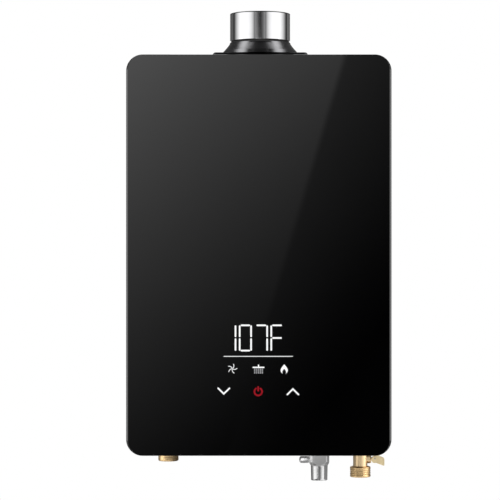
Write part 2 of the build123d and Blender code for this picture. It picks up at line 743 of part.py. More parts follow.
# Die-cast valve block with a pocket for each plunger.
with BuildPart() as gas_valve_body:
    with Locations((GAS_X, FITTING_Y, VALVE_Z)):
        Box(VALVE_W, VALVE_D, VALVE_H)
    chamfer(gas_valve_body.edges().filter_by(Axis.Y), VALVE_CHAMFER)
    with BuildSketch(Plane.XZ.offset(VALVE_FRONT)):
        with Locations((GAS_X, VALVE_Z)):
            with GridLocations(2 * COIL_SPREAD, 0, 2, 1):
                Rectangle(PLUNGER_W + 2 * PLUNGER_POCKET_GAP, PLUNGER_W + 2 * PLUNGER_POCKET_GAP)
    extrude(amount=-PLUNGER_POCKET, mode=Mode.SUBTRACT)

# Two square solenoid coils on the front of the valve.
with BuildPart() as gas_valve_coils:
    with BuildSketch(Plane.XZ.offset(VALVE_FRONT)):
        with Locations((GAS_X, VALVE_Z)):
            with GridLocations(2 * COIL_SPREAD, 0, 2, 1):
                Rectangle(COIL_W, COIL_W)
                Rectangle(PLUNGER_W + 2 * PLUNGER_GAP, PLUNGER_W + 2 * PLUNGER_GAP, mode=Mode.SUBTRACT)
    extrude(amount=COIL_L)

# Square laminated plunger that opens and shuts the gas.
with BuildPart() as gas_shutoff_plunger:
    with BuildSketch(Plane.XZ.offset(VALVE_FRONT - PLUNGER_REACH)):
        with Locations((GAS_X - COIL_SPREAD, VALVE_Z)):
            Rectangle(PLUNGER_W, PLUNGER_W)
    extrude(amount=PLUNGER_L)

# Square laminated plunger that sets how much gas flows.
with BuildPart() as gas_modulating_plunger:
    with BuildSketch(Plane.XZ.offset(VALVE_FRONT - PLUNGER_REACH)):
        with Locations((GAS_X + COIL_SPREAD, VALVE_Z)):
            Rectangle(PLUNGER_W, PLUNGER_W)
    extrude(amount=PLUNGER_L)

# Pipe from the top of the valve to the back of the manifold, with a mitred elbow.
with BuildPart() as gas_pipe:
    with BuildLine():
        Polyline(
            (GAS_X, FITTING_Y, VALVE_TOP),
            (GAS_X, FITTING_Y, BAR_DUCT_Z),
            (GAS_X, -MANIFOLD_BACK, BAR_DUCT_Z),
        )
    with BuildSketch(Plane.XY.offset(VALVE_TOP)):
        with Locations((GAS_X, FITTING_Y)):
            RegularPolygon(GAS_PIPE_R, ROUND_SIDES)
    sweep(transition=Transition.RIGHT)

# Channel that carries the valve on the back of the chassis.
with BuildPart() as gas_valve_bracket:
    reach = -FITTING_Y - VALVE_D / 2 - SHEET
    with BuildSketch(Plane.XY.offset(VALVE_Z - VALVE_H / 4)):
        with Locations((GAS_X, -SHEET - reach / 2)):
            Rectangle(VALVE_W / 2, reach)
            with Locations((0, BRACKET_T / 2)):
                Rectangle(VALVE_W / 2 - 2 * BRACKET_T, reach - BRACKET_T, mode=Mode.SUBTRACT)
    extrude(amount=VALVE_H / 2)

# Brass stub for the gas line, with a square neck through the floor up to the valve.
with BuildPart() as gas_inlet_fitting:
    with BuildSketch(Plane.XY.offset(GAS_END_Z)):
        with Locations((GAS_X, FITTING_Y)):
            Circle(GAS_THREAD_R)
    extrude(amount=CHASSIS_FLOOR - GAS_END_Z)
    chamfer(gas_inlet_fitting.faces().sort_by(Axis.Z)[0].edges(), GAS_END_CHAMFER)
    with BuildSketch(Plane.XY.offset(CHASSIS_FLOOR)):
        with Locations((GAS_X, FITTING_Y)):
            Rectangle(NECK_W, NECK_W)
    extrude(amount=VALVE_BOTTOM - CHASSIS_FLOOR)
    with BuildSketch(Plane.XY.offset(GAS_END_Z)):
        with Locations((GAS_X, FITTING_Y)):
            Circle(GAS_BORE_R)
    extrude(amount=VALVE_BOTTOM - GAS_END_Z, mode=Mode.SUBTRACT)


# Water

# Cast inlet body: square block turned to a cone below, round thread, square neck above.
with BuildPart() as cold_inlet_fitting:
    with BuildSketch(Plane.XY.offset(COLD_SHOULDER_Z)):
        with Locations((COLD_X, FITTING_Y)):
            Rectangle(COLD_BODY_W, COLD_BODY_W)
        chamfer(vertices(), COLD_BODY_CHAMFER)
    extrude(amount=CHASSIS_FLOOR - COLD_SHOULDER_Z)
    with BuildSketch(Plane.XZ.offset(-FITTING_Y)):
        with BuildLine():
            reach = COLD_BODY_W / 2**0.5
            Polyline(
                (COLD_X, COLD_SHOULDER_Z),
                (COLD_X + COLD_THREAD_R, COLD_SHOULDER_Z),
                (COLD_X + reach, COLD_SHOULDER_Z + (reach - COLD_THREAD_R) / COLD_SHOULDER_SLOPE),
                (COLD_X + reach, CHASSIS_FLOOR),
                (COLD_X, CHASSIS_FLOOR),
                close=True,
            )
        make_face()
    revolve(axis=Axis((COLD_X, FITTING_Y, 0), (0, 0, 1)), mode=Mode.INTERSECT)
    with BuildSketch(Plane.XY.offset(COLD_END_Z)):
        with Locations((COLD_X, FITTING_Y)):
            Circle(COLD_THREAD_R)
    extrude(amount=COLD_SHOULDER_Z - COLD_END_Z)
    with BuildSketch(Plane.XY.offset(CHASSIS_FLOOR)):
        with Locations((COLD_X, FITTING_Y)):
            Rectangle(NECK_W, NECK_W)
    extrude(amount=SENSOR_BOTTOM - CHASSIS_FLOOR)
    with BuildSketch(Plane.XY.offset(COLD_END_Z)):
        with Locations((COLD_X, FITTING_Y)):
            Circle(COLD_BORE_R)
    extrude(amount=SENSOR_BOTTOM - COLD_END_Z, mode=Mode.SUBTRACT)
    with BuildSketch(Plane.YZ.offset(COLD_X - COLD_BODY_W / 2)):
        with Locations((FITTING_Y, DRAIN_Z)):
            Circle(DRAIN_SHANK_R + DRAIN_BORE_GAP)
    extrude(amount=COLD_BODY_W / 2, mode=Mode.SUBTRACT)

# Screwed plug in the side of the inlet body, to empty the heater against frost.
with BuildPart() as drain_plug:
    with BuildSketch(Plane.YZ.offset(DRAIN_SHOULDER_X)):
        with Locations((FITTING_Y, DRAIN_Z)):
            Circle(DRAIN_HEAD_R)
    extrude(amount=-DRAIN_HEAD_L)
    with BuildSketch(Plane.YZ.offset(DRAIN_SHOULDER_X)):
        with Locations((FITTING_Y, DRAIN_Z)):
            Circle(DRAIN_SHANK_R)
    extrude(amount=DRAIN_SHANK_L)

# Rubber ring under the head of the plug.
with BuildPart() as drain_plug_seal:
    with BuildSketch(Plane.YZ.offset(DRAIN_SHOULDER_X + DRAIN_GAP)):
        with Locations((FITTING_Y, DRAIN_Z)):
            Circle(DRAIN_HEAD_R)
            Circle(DRAIN_SEAL_BORE_R, mode=Mode.SUBTRACT)
    extrude(amount=DRAIN_SEAL_T)

# Square flow sensor body with a round turbine room between two bores.
with BuildPart() as flow_sensor_body:
    with BuildSketch(Plane.XY.offset(SENSOR_BOTTOM)):
        with Locations((COLD_X, FITTING_Y)):
            Rectangle(SENSOR_W, SENSOR_W)
        chamfer(vertices(), SENSOR_CHAMFER)
    extrude(amount=SENSOR_H)
    with BuildSketch(Plane.XY.offset(SENSOR_BOTTOM)):
        with Locations((COLD_X, FITTING_Y)):
            RegularPolygon(PIPE_R, ROUND_SIDES)
    extrude(amount=SENSOR_H, mode=Mode.SUBTRACT)
    with BuildSketch(Plane.XY.offset(ROOM_Z - TURBINE_ROOM_H / 2)):
        with Locations((COLD_X, FITTING_Y)):
            RegularPolygon(TURBINE_ROOM_R, ROUND_SIDES, major_radius=False)
    extrude(amount=TURBINE_ROOM_H, mode=Mode.SUBTRACT)

# Turbine wheel that the water spins.
with BuildPart() as flow_turbine:
    with Locations((COLD_X, FITTING_Y, ROOM_Z)):
        with PolarLocations(TURBINE_BLADE_R, TURBINE_BLADES):
            Box(TURBINE_BLADE_L, TURBINE_BLADE_T, TURBINE_BLADE_H, rotation=(TURBINE_BLADE_TILT, 0, 0))
    with BuildSketch(Plane.XY.offset(ROOM_Z - TURBINE_H / 2)):
        with Locations((COLD_X, FITTING_Y)):
            RegularPolygon(TURBINE_HUB_R, 6)
    extrude(amount=TURBINE_H)
    with Locations((COLD_X, FITTING_Y, ROOM_Z)):
        Cylinder(AXLE_R + AXLE_GAP, 2 * TURBINE_H, mode=Mode.SUBTRACT)

# Fixed axle of the turbine, held by a bar across each end of its room.
with BuildPart() as turbine_axle:
    with Locations((COLD_X, FITTING_Y, ROOM_Z)):
        Cylinder(AXLE_R, TURBINE_ROOM_H)
    for end in (1, -1):
        with BuildSketch(Plane.XY.offset(ROOM_Z + end * TURBINE_ROOM_H / 2)):
            with Locations((COLD_X, FITTING_Y)):
                Rectangle(AXLE_BAR_L, AXLE_BAR_W)
        extrude(amount=-end * AXLE_BAR_T)

# Magnetic pickup on the front of the flow sensor.
with BuildPart() as flow_pickup:
    with Locations((COLD_X, FITTING_Y - SENSOR_W / 2 - PICKUP_D / 2, ROOM_Z)):
        Box(PICKUP_W, PICKUP_D, PICKUP_H)

# Copper pipe from the flow sensor to the first exchanger tube.
with BuildPart() as cold_pipe:
    with BuildLine():
        Polyline(
            (COLD_X, FITTING_Y, COLD_PIPE_START),
            (COLD_X, FITTING_Y, COLD_PIPE_Z),
            (COLD_PIPE_X, COLD_PIPE_Y, COLD_PIPE_Z),
            (COLD_PIPE_X, COLD_PIPE_Y, FIN_Z),
            (TUBE_L / 2, COLD_PIPE_Y, FIN_Z),
        )
    with BuildSketch(Plane.XY.offset(COLD_PIPE_START)):
        with Locations((COLD_X, FITTING_Y)):
            RegularPolygon(PIPE_R, ROUND_SIDES)
    sweep(transition=Transition.RIGHT)

# Copper pipe from the last exchanger tube to the top of the hot outlet.
with BuildPart() as hot_pipe:
    with BuildLine():
        Polyline(
            (HOT_X, FITTING_Y, HOT_PIPE_START),
            (HOT_X, FITTING_Y, HOT_PIPE_Z),
            (HOT_X, HOT_PIPE_Y, HOT_PIPE_Z),
            (HOT_X, HOT_PIPE_Y, FIN_Z),
            (TUBE_L / 2, HOT_PIPE_Y, FIN_Z),
        )
    with BuildSketch(Plane.XY.offset(HOT_PIPE_START)):
        with Locations((HOT_X, FITTING_Y)):
            RegularPolygon(PIPE_R, ROUND_SIDES)
    sweep(transition=Transition.RIGHT)

# Brass outlet: tube with a hose thread below, a square neck above and the six-sided
# body of the relief valve on its side.
with BuildPart() as hot_outlet_fitting:
    with BuildSketch(Plane.XY.offset(HOT_END_Z)):
        with Locations((HOT_X, FITTING_Y)):
            Circle(HOT_THREAD_R)
    extrude(amount=HOT_THREAD_TOP - HOT_END_Z)
    with BuildSketch(Plane.XY.offset(HOT_THREAD_TOP)):
        with Locations((HOT_X, FITTING_Y)):
            Circle(HOT_TUBE_R)
    extrude(amount=CHASSIS_FLOOR - HOT_THREAD_TOP)
    with BuildSketch(Plane.XY.offset(CHASSIS_FLOOR)):
        with Locations((HOT_X, FITTING_Y)):
            Rectangle(NECK_W, NECK_W)
    extrude(amount=HOT_TUBE_TOP - CHASSIS_FLOOR)
    with BuildSketch(Plane.YZ.offset(HOT_X)):
        with Locations((FITTING_Y, RELIEF_Z)):
            RegularPolygon(RELIEF_BODY_R, 6, major_radius=False)
    extrude(amount=RELIEF_BOSS_X - HOT_X)
    with BuildSketch(Plane.XY.offset(HOT_END_Z)):
        with Locations((HOT_X, FITTING_Y)):
            Circle(PIPE_R)
    extrude(amount=HOT_TUBE_TOP - HOT_END_Z, mode=Mode.SUBTRACT)
    with BuildSketch(Plane.YZ.offset(RELIEF_BOSS_X)):
        with Locations((FITTING_Y, RELIEF_Z)):
            RegularPolygon(RELIEF_ROOM_R, ROUND_SIDES, major_radius=False)
    extrude(amount=RELIEF_SEAT_X - RELIEF_BOSS_X, mode=Mode.SUBTRACT)
    with BuildSketch(Plane.YZ.offset(RELIEF_SEAT_X)):
        with Locations((FITTING_Y, RELIEF_Z)):
            RegularPolygon(RELIEF_SEAT_R, ROUND_SIDES)
    extrude(amount=HOT_X - RELIEF_SEAT_X, mode=Mode.SUBTRACT)

# Six-sided plate that closes the relief valve and guides its stem.
with BuildPart() as relief_cap:
    with BuildSketch(Plane.YZ.offset(RELIEF_BOSS_X)):
        with Locations((FITTING_Y, RELIEF_Z)):
            RegularPolygon(RELIEF_BODY_R, 6, major_radius=False)
            Circle(RELIEF_STEM_R + RELIEF_STEM_GAP, mode=Mode.SUBTRACT)
    extrude(amount=RELIEF_CAP_T)

# Eight-sided valve disc, stem and the eye for the lever pin, in one piece.
with BuildPart() as relief_stem:
    with BuildSketch(Plane.YZ.offset(DISC_X)):
        with Locations((FITTING_Y, RELIEF_Z)):
            RegularPolygon(RELIEF_DISC_R, 8)
    extrude(amount=RELIEF_DISC_T)
    with BuildSketch(Plane.YZ.offset(DISC_X)):
        with Locations((FITTING_Y, RELIEF_Z)):
            Circle(RELIEF_STEM_R)
    extrude(amount=LEVER_PIN_X - DISC_X)
    with BuildSketch(Plane.XZ.offset(-FITTING_Y)):
        with Locations((LEVER_PIN_X, RELIEF_Z)):
            Circle(EYE_R)
    extrude(amount=EYE_T / 2, both=True)
    with BuildSketch(Plane.XZ.offset(-FITTING_Y)):
        with Locations((LEVER_PIN_X, RELIEF_Z)):
            Circle(PIN_R + PIN_GAP)
    extrude(amount=EYE_T, both=True, mode=Mode.SUBTRACT)

# Closing spring of the relief valve, kept as a plain eight-sided sleeve inside its cap.
with BuildPart() as relief_spring:
    with BuildSketch(Plane.YZ.offset(SPRING_X)):
        with Locations((FITTING_Y, RELIEF_Z)):
            RegularPolygon(SPRING_R, 8)
            RegularPolygon(SPRING_R - SPRING_WALL, 8, mode=Mode.SUBTRACT)
    extrude(amount=SPRING_L)

# Lever with a cam-shaped heel that pulls the stem off its seat.
with BuildPart() as relief_lever:
    lean = LEVER_W / 2 * tan(radians(LEVER_TILT))
    lever_plane = Plane(
        origin=(LEVER_PIN_X, FITTING_Y, RELIEF_Z),
        x_dir=(cos(radians(LEVER_TILT)), 0, -sin(radians(LEVER_TILT))),
        z_dir=(0, -1, 0),
    )
    with BuildSketch(lever_plane):
        with BuildLine():
            Polyline(
                (0, -LEVER_W / 2),
                (LEVER_L + lean, -LEVER_W / 2),
                (LEVER_L - lean, LEVER_W / 2),
                (0, LEVER_W / 2),
                close=True,
            )
        make_face()
        chamfer(vertices().sort_by(Axis.X)[-2:], LEVER_EDGE)
        with Locations((LEVER_HEEL_U, LEVER_HEEL_V)):
            Circle(LEVER_HEEL_R)
        Circle(PIN_R, mode=Mode.SUBTRACT)
    extrude(amount=LEVER_T / 2, both=True)
    with BuildSketch(lever_plane):
        with Locations((LEVER_SLOT_L - LEVER_W, 0)):
            Rectangle(2 * LEVER_W, 4 * LEVER_W)
    extrude(amount=LEVER_SLOT / 2, both=True, mode=Mode.SUBTRACT)

# Steel pin that ties the lever to the eye of the stem.
with BuildPart() as relief_pin:
    with BuildSketch(lever_plane):
        Circle(PIN_R)
    extrude(amount=LEVER_T / 2, both=True)


# Electrics

# Moulded box for the main board, on the back of the chassis.
with BuildPart() as control_box:
    with BuildSketch(Plane.XZ.offset(SHEET)):
        with Locations((BOX_X, BOX_Z)):
            Rectangle(BOX_W, BOX_H)
    extrude(amount=BOX_D)
    offset(amount=-BOX_WALL, openings=control_box.faces().sort_by(Axis.Y)[0])

# Main board, held between the walls of the box.
with BuildPart() as main_board:
    with BuildSketch(Plane.XZ.offset(SHEET + MAIN_BOARD_GAP)):
        with Locations((BOX_X, BOX_Z)):
            Rectangle(BOX_W - 2 * BOX_WALL, BOX_H - 2 * BOX_WALL)
    extrude(amount=BOARD_T)

# Lid of the control box.
with BuildPart() as control_lid:
    with BuildSketch(Plane.XZ.offset(SHEET + BOX_D)):
        with Locations((BOX_X, BOX_Z)):
            Rectangle(BOX_W, BOX_H)
    extrude(amount=LID_T)

# Spark module, screwed on the lid.
with BuildPart() as spark_module:
    with Locations((BOX_X, -SHEET - BOX_D - LID_T - SPARK_D / 2, BOX_Z)):
        Box(SPARK_W, SPARK_D, SPARK_H)

# Eight-sided air pressure switch, with a nipple on the side of the scroll.
with BuildPart() as air_switch:
    with BuildSketch(Plane.YZ.offset(SCROLL_RIGHT)):
        with Locations((FLUE_Y, AIR_SWITCH_Z)):
            RegularPolygon(NIPPLE_R, 8)
    extrude(amount=NIPPLE_L)
    with BuildSketch(Plane.YZ.offset(SCROLL_RIGHT + NIPPLE_L)):
        with Locations((FLUE_Y, AIR_SWITCH_Z)):
            RegularPolygon(AIR_SWITCH_R, 8)
    extrude(amount=AIR_SWITCH_T)

# Overheat cut-out on the side of the combustion chamber.
with BuildPart() as overheat_cutout:
    with BuildSketch(Plane.YZ.offset(-CORE_W / 2)):
        with Locations((CORE_Y, 0)):
            Rectangle(CUTOUT_W, CUTOUT_W)
    extrude(amount=-CUTOUT_T)


# One STEP file per piece

PIECES = {
    "chassis": chassis,
    "front_cover": front_cover,
    "glass_panel": glass_panel,
    "cord_bushing": cord_bushing,
    "display_lightguide": display_lightguide,
    "display_board": display_board,
    "display_housing": display_housing,
    "flue_gasket": flue_gasket,
    "flue_base": flue_base,
    "flue_sleeve": flue_sleeve,
    "fan_volute": fan_volute,
    "fan_impeller": fan_impeller,
    "fan_shaft": fan_shaft,
    "fan_motor": fan_motor,
    "exhaust_hood": exhaust_hood,
    "exchanger_fins": exchanger_fins,
    "exchanger_tubes": exchanger_tubes,
    "exchanger_headers": exchanger_headers,
    "combustion_chamber": combustion_chamber,
    "chamber_brackets": chamber_brackets,
    "burner_frame": burner_frame,
    "burner_bars": burner_bars,
    "electrode_insulators": electrode_insulators,
    "electrode_rods": electrode_rods,
    "gas_manifold": gas_manifold,
    "gas_nozzles": gas_nozzles,
    "gas_valve_body": gas_valve_body,
    "gas_valve_coils": gas_valve_coils,
    "gas_shutoff_plunger": gas_shutoff_plunger,
    "gas_modulating_plunger": gas_modulating_plunger,
    "gas_pipe": gas_pipe,
    "gas_valve_bracket": gas_valve_bracket,
    "gas_inlet_fitting": gas_inlet_fitting,
    "cold_inlet_fitting": cold_inlet_fitting,
    "drain_plug": drain_plug,
    "drain_plug_seal": drain_plug_seal,
    "flow_sensor_body": flow_sensor_body,
    "flow_turbine": flow_turbine,
    "turbine_axle": turbine_axle,
    "flow_pickup": flow_pickup,
    "cold_pipe": cold_pipe,
    "hot_pipe": hot_pipe,
    "hot_outlet_fitting": hot_outlet_fitting,
    "relief_cap": relief_cap,
    "relief_stem": relief_stem,
    "relief_spring": relief_spring,
    "relief_lever": relief_lever,
    "relief_pin": relief_pin,
    "control_box": control_box,
    "main_board": main_board,
    "control_lid": control_lid,
    "spark_module": spark_module,
    "air_switch": air_switch,
    "overheat_cutout": overheat_cutout,
}

os.makedirs("parts", exist_ok=True)
for label, piece in PIECES.items():
    piece.part.label = label
    export_step(piece.part, f"parts/{label}.step")
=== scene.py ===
import math

import bpy
import numpy as np
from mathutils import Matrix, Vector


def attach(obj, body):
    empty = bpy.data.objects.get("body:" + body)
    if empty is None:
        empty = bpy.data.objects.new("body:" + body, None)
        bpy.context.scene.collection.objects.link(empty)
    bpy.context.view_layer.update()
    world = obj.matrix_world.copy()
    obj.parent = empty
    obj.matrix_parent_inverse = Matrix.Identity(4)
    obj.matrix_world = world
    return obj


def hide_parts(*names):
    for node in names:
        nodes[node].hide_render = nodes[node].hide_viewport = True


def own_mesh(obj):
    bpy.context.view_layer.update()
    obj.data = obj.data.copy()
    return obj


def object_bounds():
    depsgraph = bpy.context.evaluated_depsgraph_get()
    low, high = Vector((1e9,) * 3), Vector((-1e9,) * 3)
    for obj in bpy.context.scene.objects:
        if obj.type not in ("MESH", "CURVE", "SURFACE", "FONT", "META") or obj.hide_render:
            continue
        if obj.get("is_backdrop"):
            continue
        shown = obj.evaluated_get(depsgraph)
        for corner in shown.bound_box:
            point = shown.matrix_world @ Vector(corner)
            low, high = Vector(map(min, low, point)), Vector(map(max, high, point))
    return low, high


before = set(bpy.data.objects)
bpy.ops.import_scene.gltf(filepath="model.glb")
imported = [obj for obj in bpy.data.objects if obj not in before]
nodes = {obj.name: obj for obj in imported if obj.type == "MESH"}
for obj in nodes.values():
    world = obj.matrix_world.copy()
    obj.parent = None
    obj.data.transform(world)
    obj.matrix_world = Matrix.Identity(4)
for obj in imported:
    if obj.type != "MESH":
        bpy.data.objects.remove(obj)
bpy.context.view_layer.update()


# Case tray: one deep steel tray that hangs on the wall by two keyholes. It is pressed from sheet,
# punched with air slots in its sides and floor, and powder-coated black with a fine orange peel.
POWDER_TONES = (0.010, 0.010, 0.011, 1), (0.017, 0.017, 0.018, 1)
FINE_DETAIL, BROAD_DETAIL = 3, 2
DRIFT_START, DRIFT_END = 0.3, 0.7
TRAY_EDGE = 0.3
WELD_REACH = 0.00001
SHARP_ANGLE = math.radians(35)


def surface_effect(name, stretch):
    """Shader group: two noises on stretched coordinates. The fine one is the height of the surface,
    and the broad one drifts between two colours and two roughnesses."""
    group = bpy.data.node_groups.new(name, "ShaderNodeTree")
    socket = group.interface.new_socket
    socket("Vector", in_out="INPUT", socket_type="NodeSocketVector")
    for label in ("Dark", "Light"):
        socket(label, in_out="INPUT", socket_type="NodeSocketColor")
    for label in ("Scale", "Broad Scale", "Low Roughness", "High Roughness"):
        socket(label, in_out="INPUT", socket_type="NodeSocketFloat")
    socket("Color", in_out="OUTPUT", socket_type="NodeSocketColor")
    for label in ("Roughness", "Height"):
        socket(label, in_out="OUTPUT", socket_type="NodeSocketFloat")
    make, link = group.nodes.new, group.links.new
    given, put_out = make("NodeGroupInput"), make("NodeGroupOutput")
    stretched = make("ShaderNodeVectorMath")
    stretched.operation = "MULTIPLY"
    stretched.inputs[1].default_value = stretch
    link(given.outputs["Vector"], stretched.inputs[0])
    fine, broad = make("ShaderNodeTexNoise"), make("ShaderNodeTexNoise")
    fine.inputs["Detail"].default_value = FINE_DETAIL
    broad.inputs["Detail"].default_value = BROAD_DETAIL
    for noise, label in ((fine, "Scale"), (broad, "Broad Scale")):
        link(stretched.outputs[0], noise.inputs["Vector"])
        link(given.outputs[label], noise.inputs["Scale"])
    drift = make("ShaderNodeMapRange")
    drift.inputs["From Min"].default_value = DRIFT_START
    drift.inputs["From Max"].default_value = DRIFT_END
    link(broad.outputs[0], drift.inputs["Value"])
    tone = make("ShaderNodeMix")
    tone.data_type = "RGBA"
    link(drift.outputs[0], tone.inputs[0])
    link(given.outputs["Dark"], tone.inputs[6])
    link(given.outputs["Light"], tone.inputs[7])
    gloss = make("ShaderNodeMapRange")
    link(drift.outputs[0], gloss.inputs["Value"])
    link(given.outputs["Low Roughness"], gloss.inputs["To Min"])
    link(given.outputs["High Roughness"], gloss.inputs["To Max"])
    link(tone.outputs[2], put_out.inputs["Color"])
    link(gloss.outputs[0], put_out.inputs["Roughness"])
    link(fine.outputs[0], put_out.inputs["Height"])
    return group


def blank(name):
    """A new material and its nodes."""
    material = bpy.data.materials.new(name)
    material.use_nodes = True
    return material, material.node_tree


def finish(name, effect, colours, roughness, scales, depth, metallic=0.0, turn=(0, 0, 0), specular=0.5):
    """Material: a shared effect on Object coordinates, turned so that its Z runs along the piece, drives a
    dark and a light colour and the roughness, and its height is a bump of the given depth in metres."""
    material, tree = blank(name)
    shader = tree.nodes["Principled BSDF"]
    shader.inputs["Metallic"].default_value = metallic
    shader.inputs["Specular IOR Level"].default_value = specular
    place = tree.nodes.new("ShaderNodeTexCoord")
    turned_place = tree.nodes.new("ShaderNodeMapping")
    turned_place.inputs["Rotation"].default_value = turn
    made = tree.nodes.new("ShaderNodeGroup")
    made.node_tree = effect
    made.inputs["Dark"].default_value, made.inputs["Light"].default_value = colours
    made.inputs["Low Roughness"].default_value, made.inputs["High Roughness"].default_value = roughness
    made.inputs["Scale"].default_value, made.inputs["Broad Scale"].default_value = scales
    bump = tree.nodes.new("ShaderNodeBump")
    bump.inputs["Distance"].default_value = depth
    link = tree.links.new
    link(place.outputs["Object"], turned_place.inputs["Vector"])
    link(turned_place.outputs["Vector"], made.inputs["Vector"])
    link(made.outputs["Color"], shader.inputs["Base Color"])
    link(made.outputs["Roughness"], shader.inputs["Roughness"])
    link(made.outputs["Height"], bump.inputs["Height"])
    link(bump.outputs["Normal"], shader.inputs["Normal"])
    return material


def dress(material, *names):
    """Gives carried-over CAD nodes a material in the slots that they have."""
    for name in names:
        for slot in nodes[name].material_slots:
            slot.material = material


def soften(width, *names):
    """Breaks the sharp edges of carried-over CAD nodes by a width in millimetres."""
    for name in names:
        weld = nodes[name].modifiers.new("weld", "WELD")
        weld.merge_threshold = WELD_REACH
        bevel = nodes[name].modifiers.new("eased_edges", "BEVEL")
        bevel.width = width * 0.001
        bevel.segments = 2
        bevel.limit_method = "ANGLE"
        bevel.angle_limit = SHARP_ANGLE


grain = surface_effect("even_grain", (1, 1, 1))
powder_coat = finish(
    "powder_coat", grain, POWDER_TONES, roughness=(0.36, 0.46), scales=(900, 14), depth=0.00006)
dress(powder_coat, "chassis")
soften(TRAY_EDGE, "chassis")


# Exhaust fan: a scroll, wheel and motor of bright zinc-coated sheet that pull the exhaust up into
# the flue. The zinc shows a crystal spangle, and the wheel turns on a plain steel shaft.
ZINC_TONES = (0.42, 0.43, 0.44, 1), (0.62, 0.63, 0.64, 1)
ZINC_ROUGHNESS = (0.28, 0.46)
SPANGLE_SCALE = 90.0
STEEL_TONES = (0.40, 0.40, 0.41, 1), (0.55, 0.55, 0.56, 1)

zinc, tree = blank("zinc_spangle")
shader = tree.nodes["Principled BSDF"]
shader.inputs["Metallic"].default_value = 1.0
place = tree.nodes.new("ShaderNodeTexCoord")
crystals = tree.nodes.new("ShaderNodeTexVoronoi")
crystals.inputs["Scale"].default_value = SPANGLE_SCALE
tone = tree.nodes.new("ShaderNodeMix")
tone.data_type = "RGBA"
tone.inputs[6].default_value, tone.inputs[7].default_value = ZINC_TONES
gloss = tree.nodes.new("ShaderNodeMapRange")
gloss.inputs["To Min"].default_value, gloss.inputs["To Max"].default_value = ZINC_ROUGHNESS
link = tree.links.new
link(place.outputs["Object"], crystals.inputs["Vector"])
link(crystals.outputs["Color"], tone.inputs[0])
link(crystals.outputs["Color"], gloss.inputs["Value"])
link(tone.outputs[2], shader.inputs["Base Color"])
link(gloss.outputs[0], shader.inputs["Roughness"])
dress(zinc, "fan_volute", "fan_impeller", "fan_motor", "exhaust_hood", "chamber_brackets",
      "burner_frame", "gas_valve_bracket")

lathe = surface_effect("turned_lines", (0.04, 0.04, 1))
bright_steel = finish(
    "bright_steel", lathe, STEEL_TONES, roughness=(0.22, 0.34), scales=(1800, 60),
    depth=0.00002, metallic=1.0)
dress(bright_steel, "fan_shaft", "burner_bars", "electrode_rods", "relief_pin")


# Heat path: copper fins, tubes and headers in a copper chamber over the burner. Copper near the
# flame is heat-tinted in clouds of brown and rose, and the joints are brazed.
COPPER_TONES = (0.30, 0.12, 0.07, 1), (0.72, 0.36, 0.22, 1)
CERAMIC_TONES = (0.74, 0.72, 0.67, 1), (0.84, 0.82, 0.78, 1)
copper = finish(
    "tinted_copper", grain, COPPER_TONES, roughness=(0.25, 0.42), scales=(600, 22),
    depth=0.00003, metallic=1.0)
dress(copper, "exchanger_fins", "exchanger_tubes", "exchanger_headers", "combustion_chamber",
      "cold_pipe", "hot_pipe")
ceramic = finish(
    "glazed_ceramic", grain, CERAMIC_TONES, roughness=(0.12, 0.22), scales=(500, 60), depth=0.00002)
dress(ceramic, "electrode_insulators")


# Gas train: a cast aluminium valve and manifold with two solenoid coils. The castings keep the sand
# texture of the mould, the coils are wound with lacquered wire, and the plungers are ground iron.
CAST_TONES = (0.50, 0.51, 0.52, 1), (0.66, 0.67, 0.68, 1)
IRON_TONES = (0.20, 0.20, 0.21, 1), (0.32, 0.32, 0.33, 1)
WIRE_TONES = (0.09, 0.03, 0.015, 1), (0.24, 0.09, 0.04, 1)
COIL_TURN = (math.pi / 2, 0, 0)
cast_metal = finish(
    "cast_aluminium", grain, CAST_TONES, roughness=(0.38, 0.55), scales=(700, 40),
    depth=0.00012, metallic=1.0)
dress(cast_metal, "gas_manifold", "gas_valve_body", "gas_pipe")
ground_iron = finish(
    "ground_iron", lathe, IRON_TONES, roughness=(0.3, 0.45), scales=(1500, 80),
    depth=0.00002, metallic=1.0, turn=COIL_TURN)
dress(ground_iron, "gas_shutoff_plunger", "gas_modulating_plunger")
wire_turns = surface_effect("wire_turns", (0.01, 0.01, 1))
winding = finish(
    "coil_winding", wire_turns, WIRE_TONES, roughness=(0.3, 0.45), scales=(2600, 900),
    depth=0.0002, turn=COIL_TURN)
dress(winding, "gas_valve_coils")


# Electrics: moulded boxes and lids in grey and black plastic around green circuit boards.
# The plastic has a spark-eroded grain, and the boards show fine copper tracks under the mask.
GREY_TONES = (0.28, 0.29, 0.30, 1), (0.34, 0.35, 0.36, 1)
BLACK_TONES = (0.016, 0.016, 0.016, 1), (0.026, 0.026, 0.027, 1)
MASK_TONES = (0.010, 0.085, 0.035, 1), (0.03, 0.20, 0.08, 1)
GUIDE_TONES = (0.70, 0.72, 0.75, 1), (0.82, 0.84, 0.86, 1)
grey_plastic = finish(
    "grey_plastic", grain, GREY_TONES, roughness=(0.45, 0.58), scales=(1600, 20), depth=0.00005)
dress(grey_plastic, "control_box", "control_lid", "flow_turbine", "turbine_axle")
black_plastic = finish(
    "black_plastic", grain, BLACK_TONES, roughness=(0.45, 0.6), scales=(1600, 20), depth=0.00006)
dress(black_plastic, "display_housing", "spark_module", "air_switch", "overheat_cutout", "flow_pickup",
      "cord_bushing")
soften(TRAY_EDGE, "cord_bushing")
tracks = surface_effect("board_tracks", (1, 1, 0.05))
board = finish("circuit_board", tracks, MASK_TONES, roughness=(0.2, 0.35), scales=(700, 420), depth=0.00003)
dress(board, "main_board", "display_board")
guide = finish("light_guide", grain, GUIDE_TONES, roughness=(0.2, 0.35), scales=(800, 40), depth=0.00003)
dress(guide, "display_lightguide")


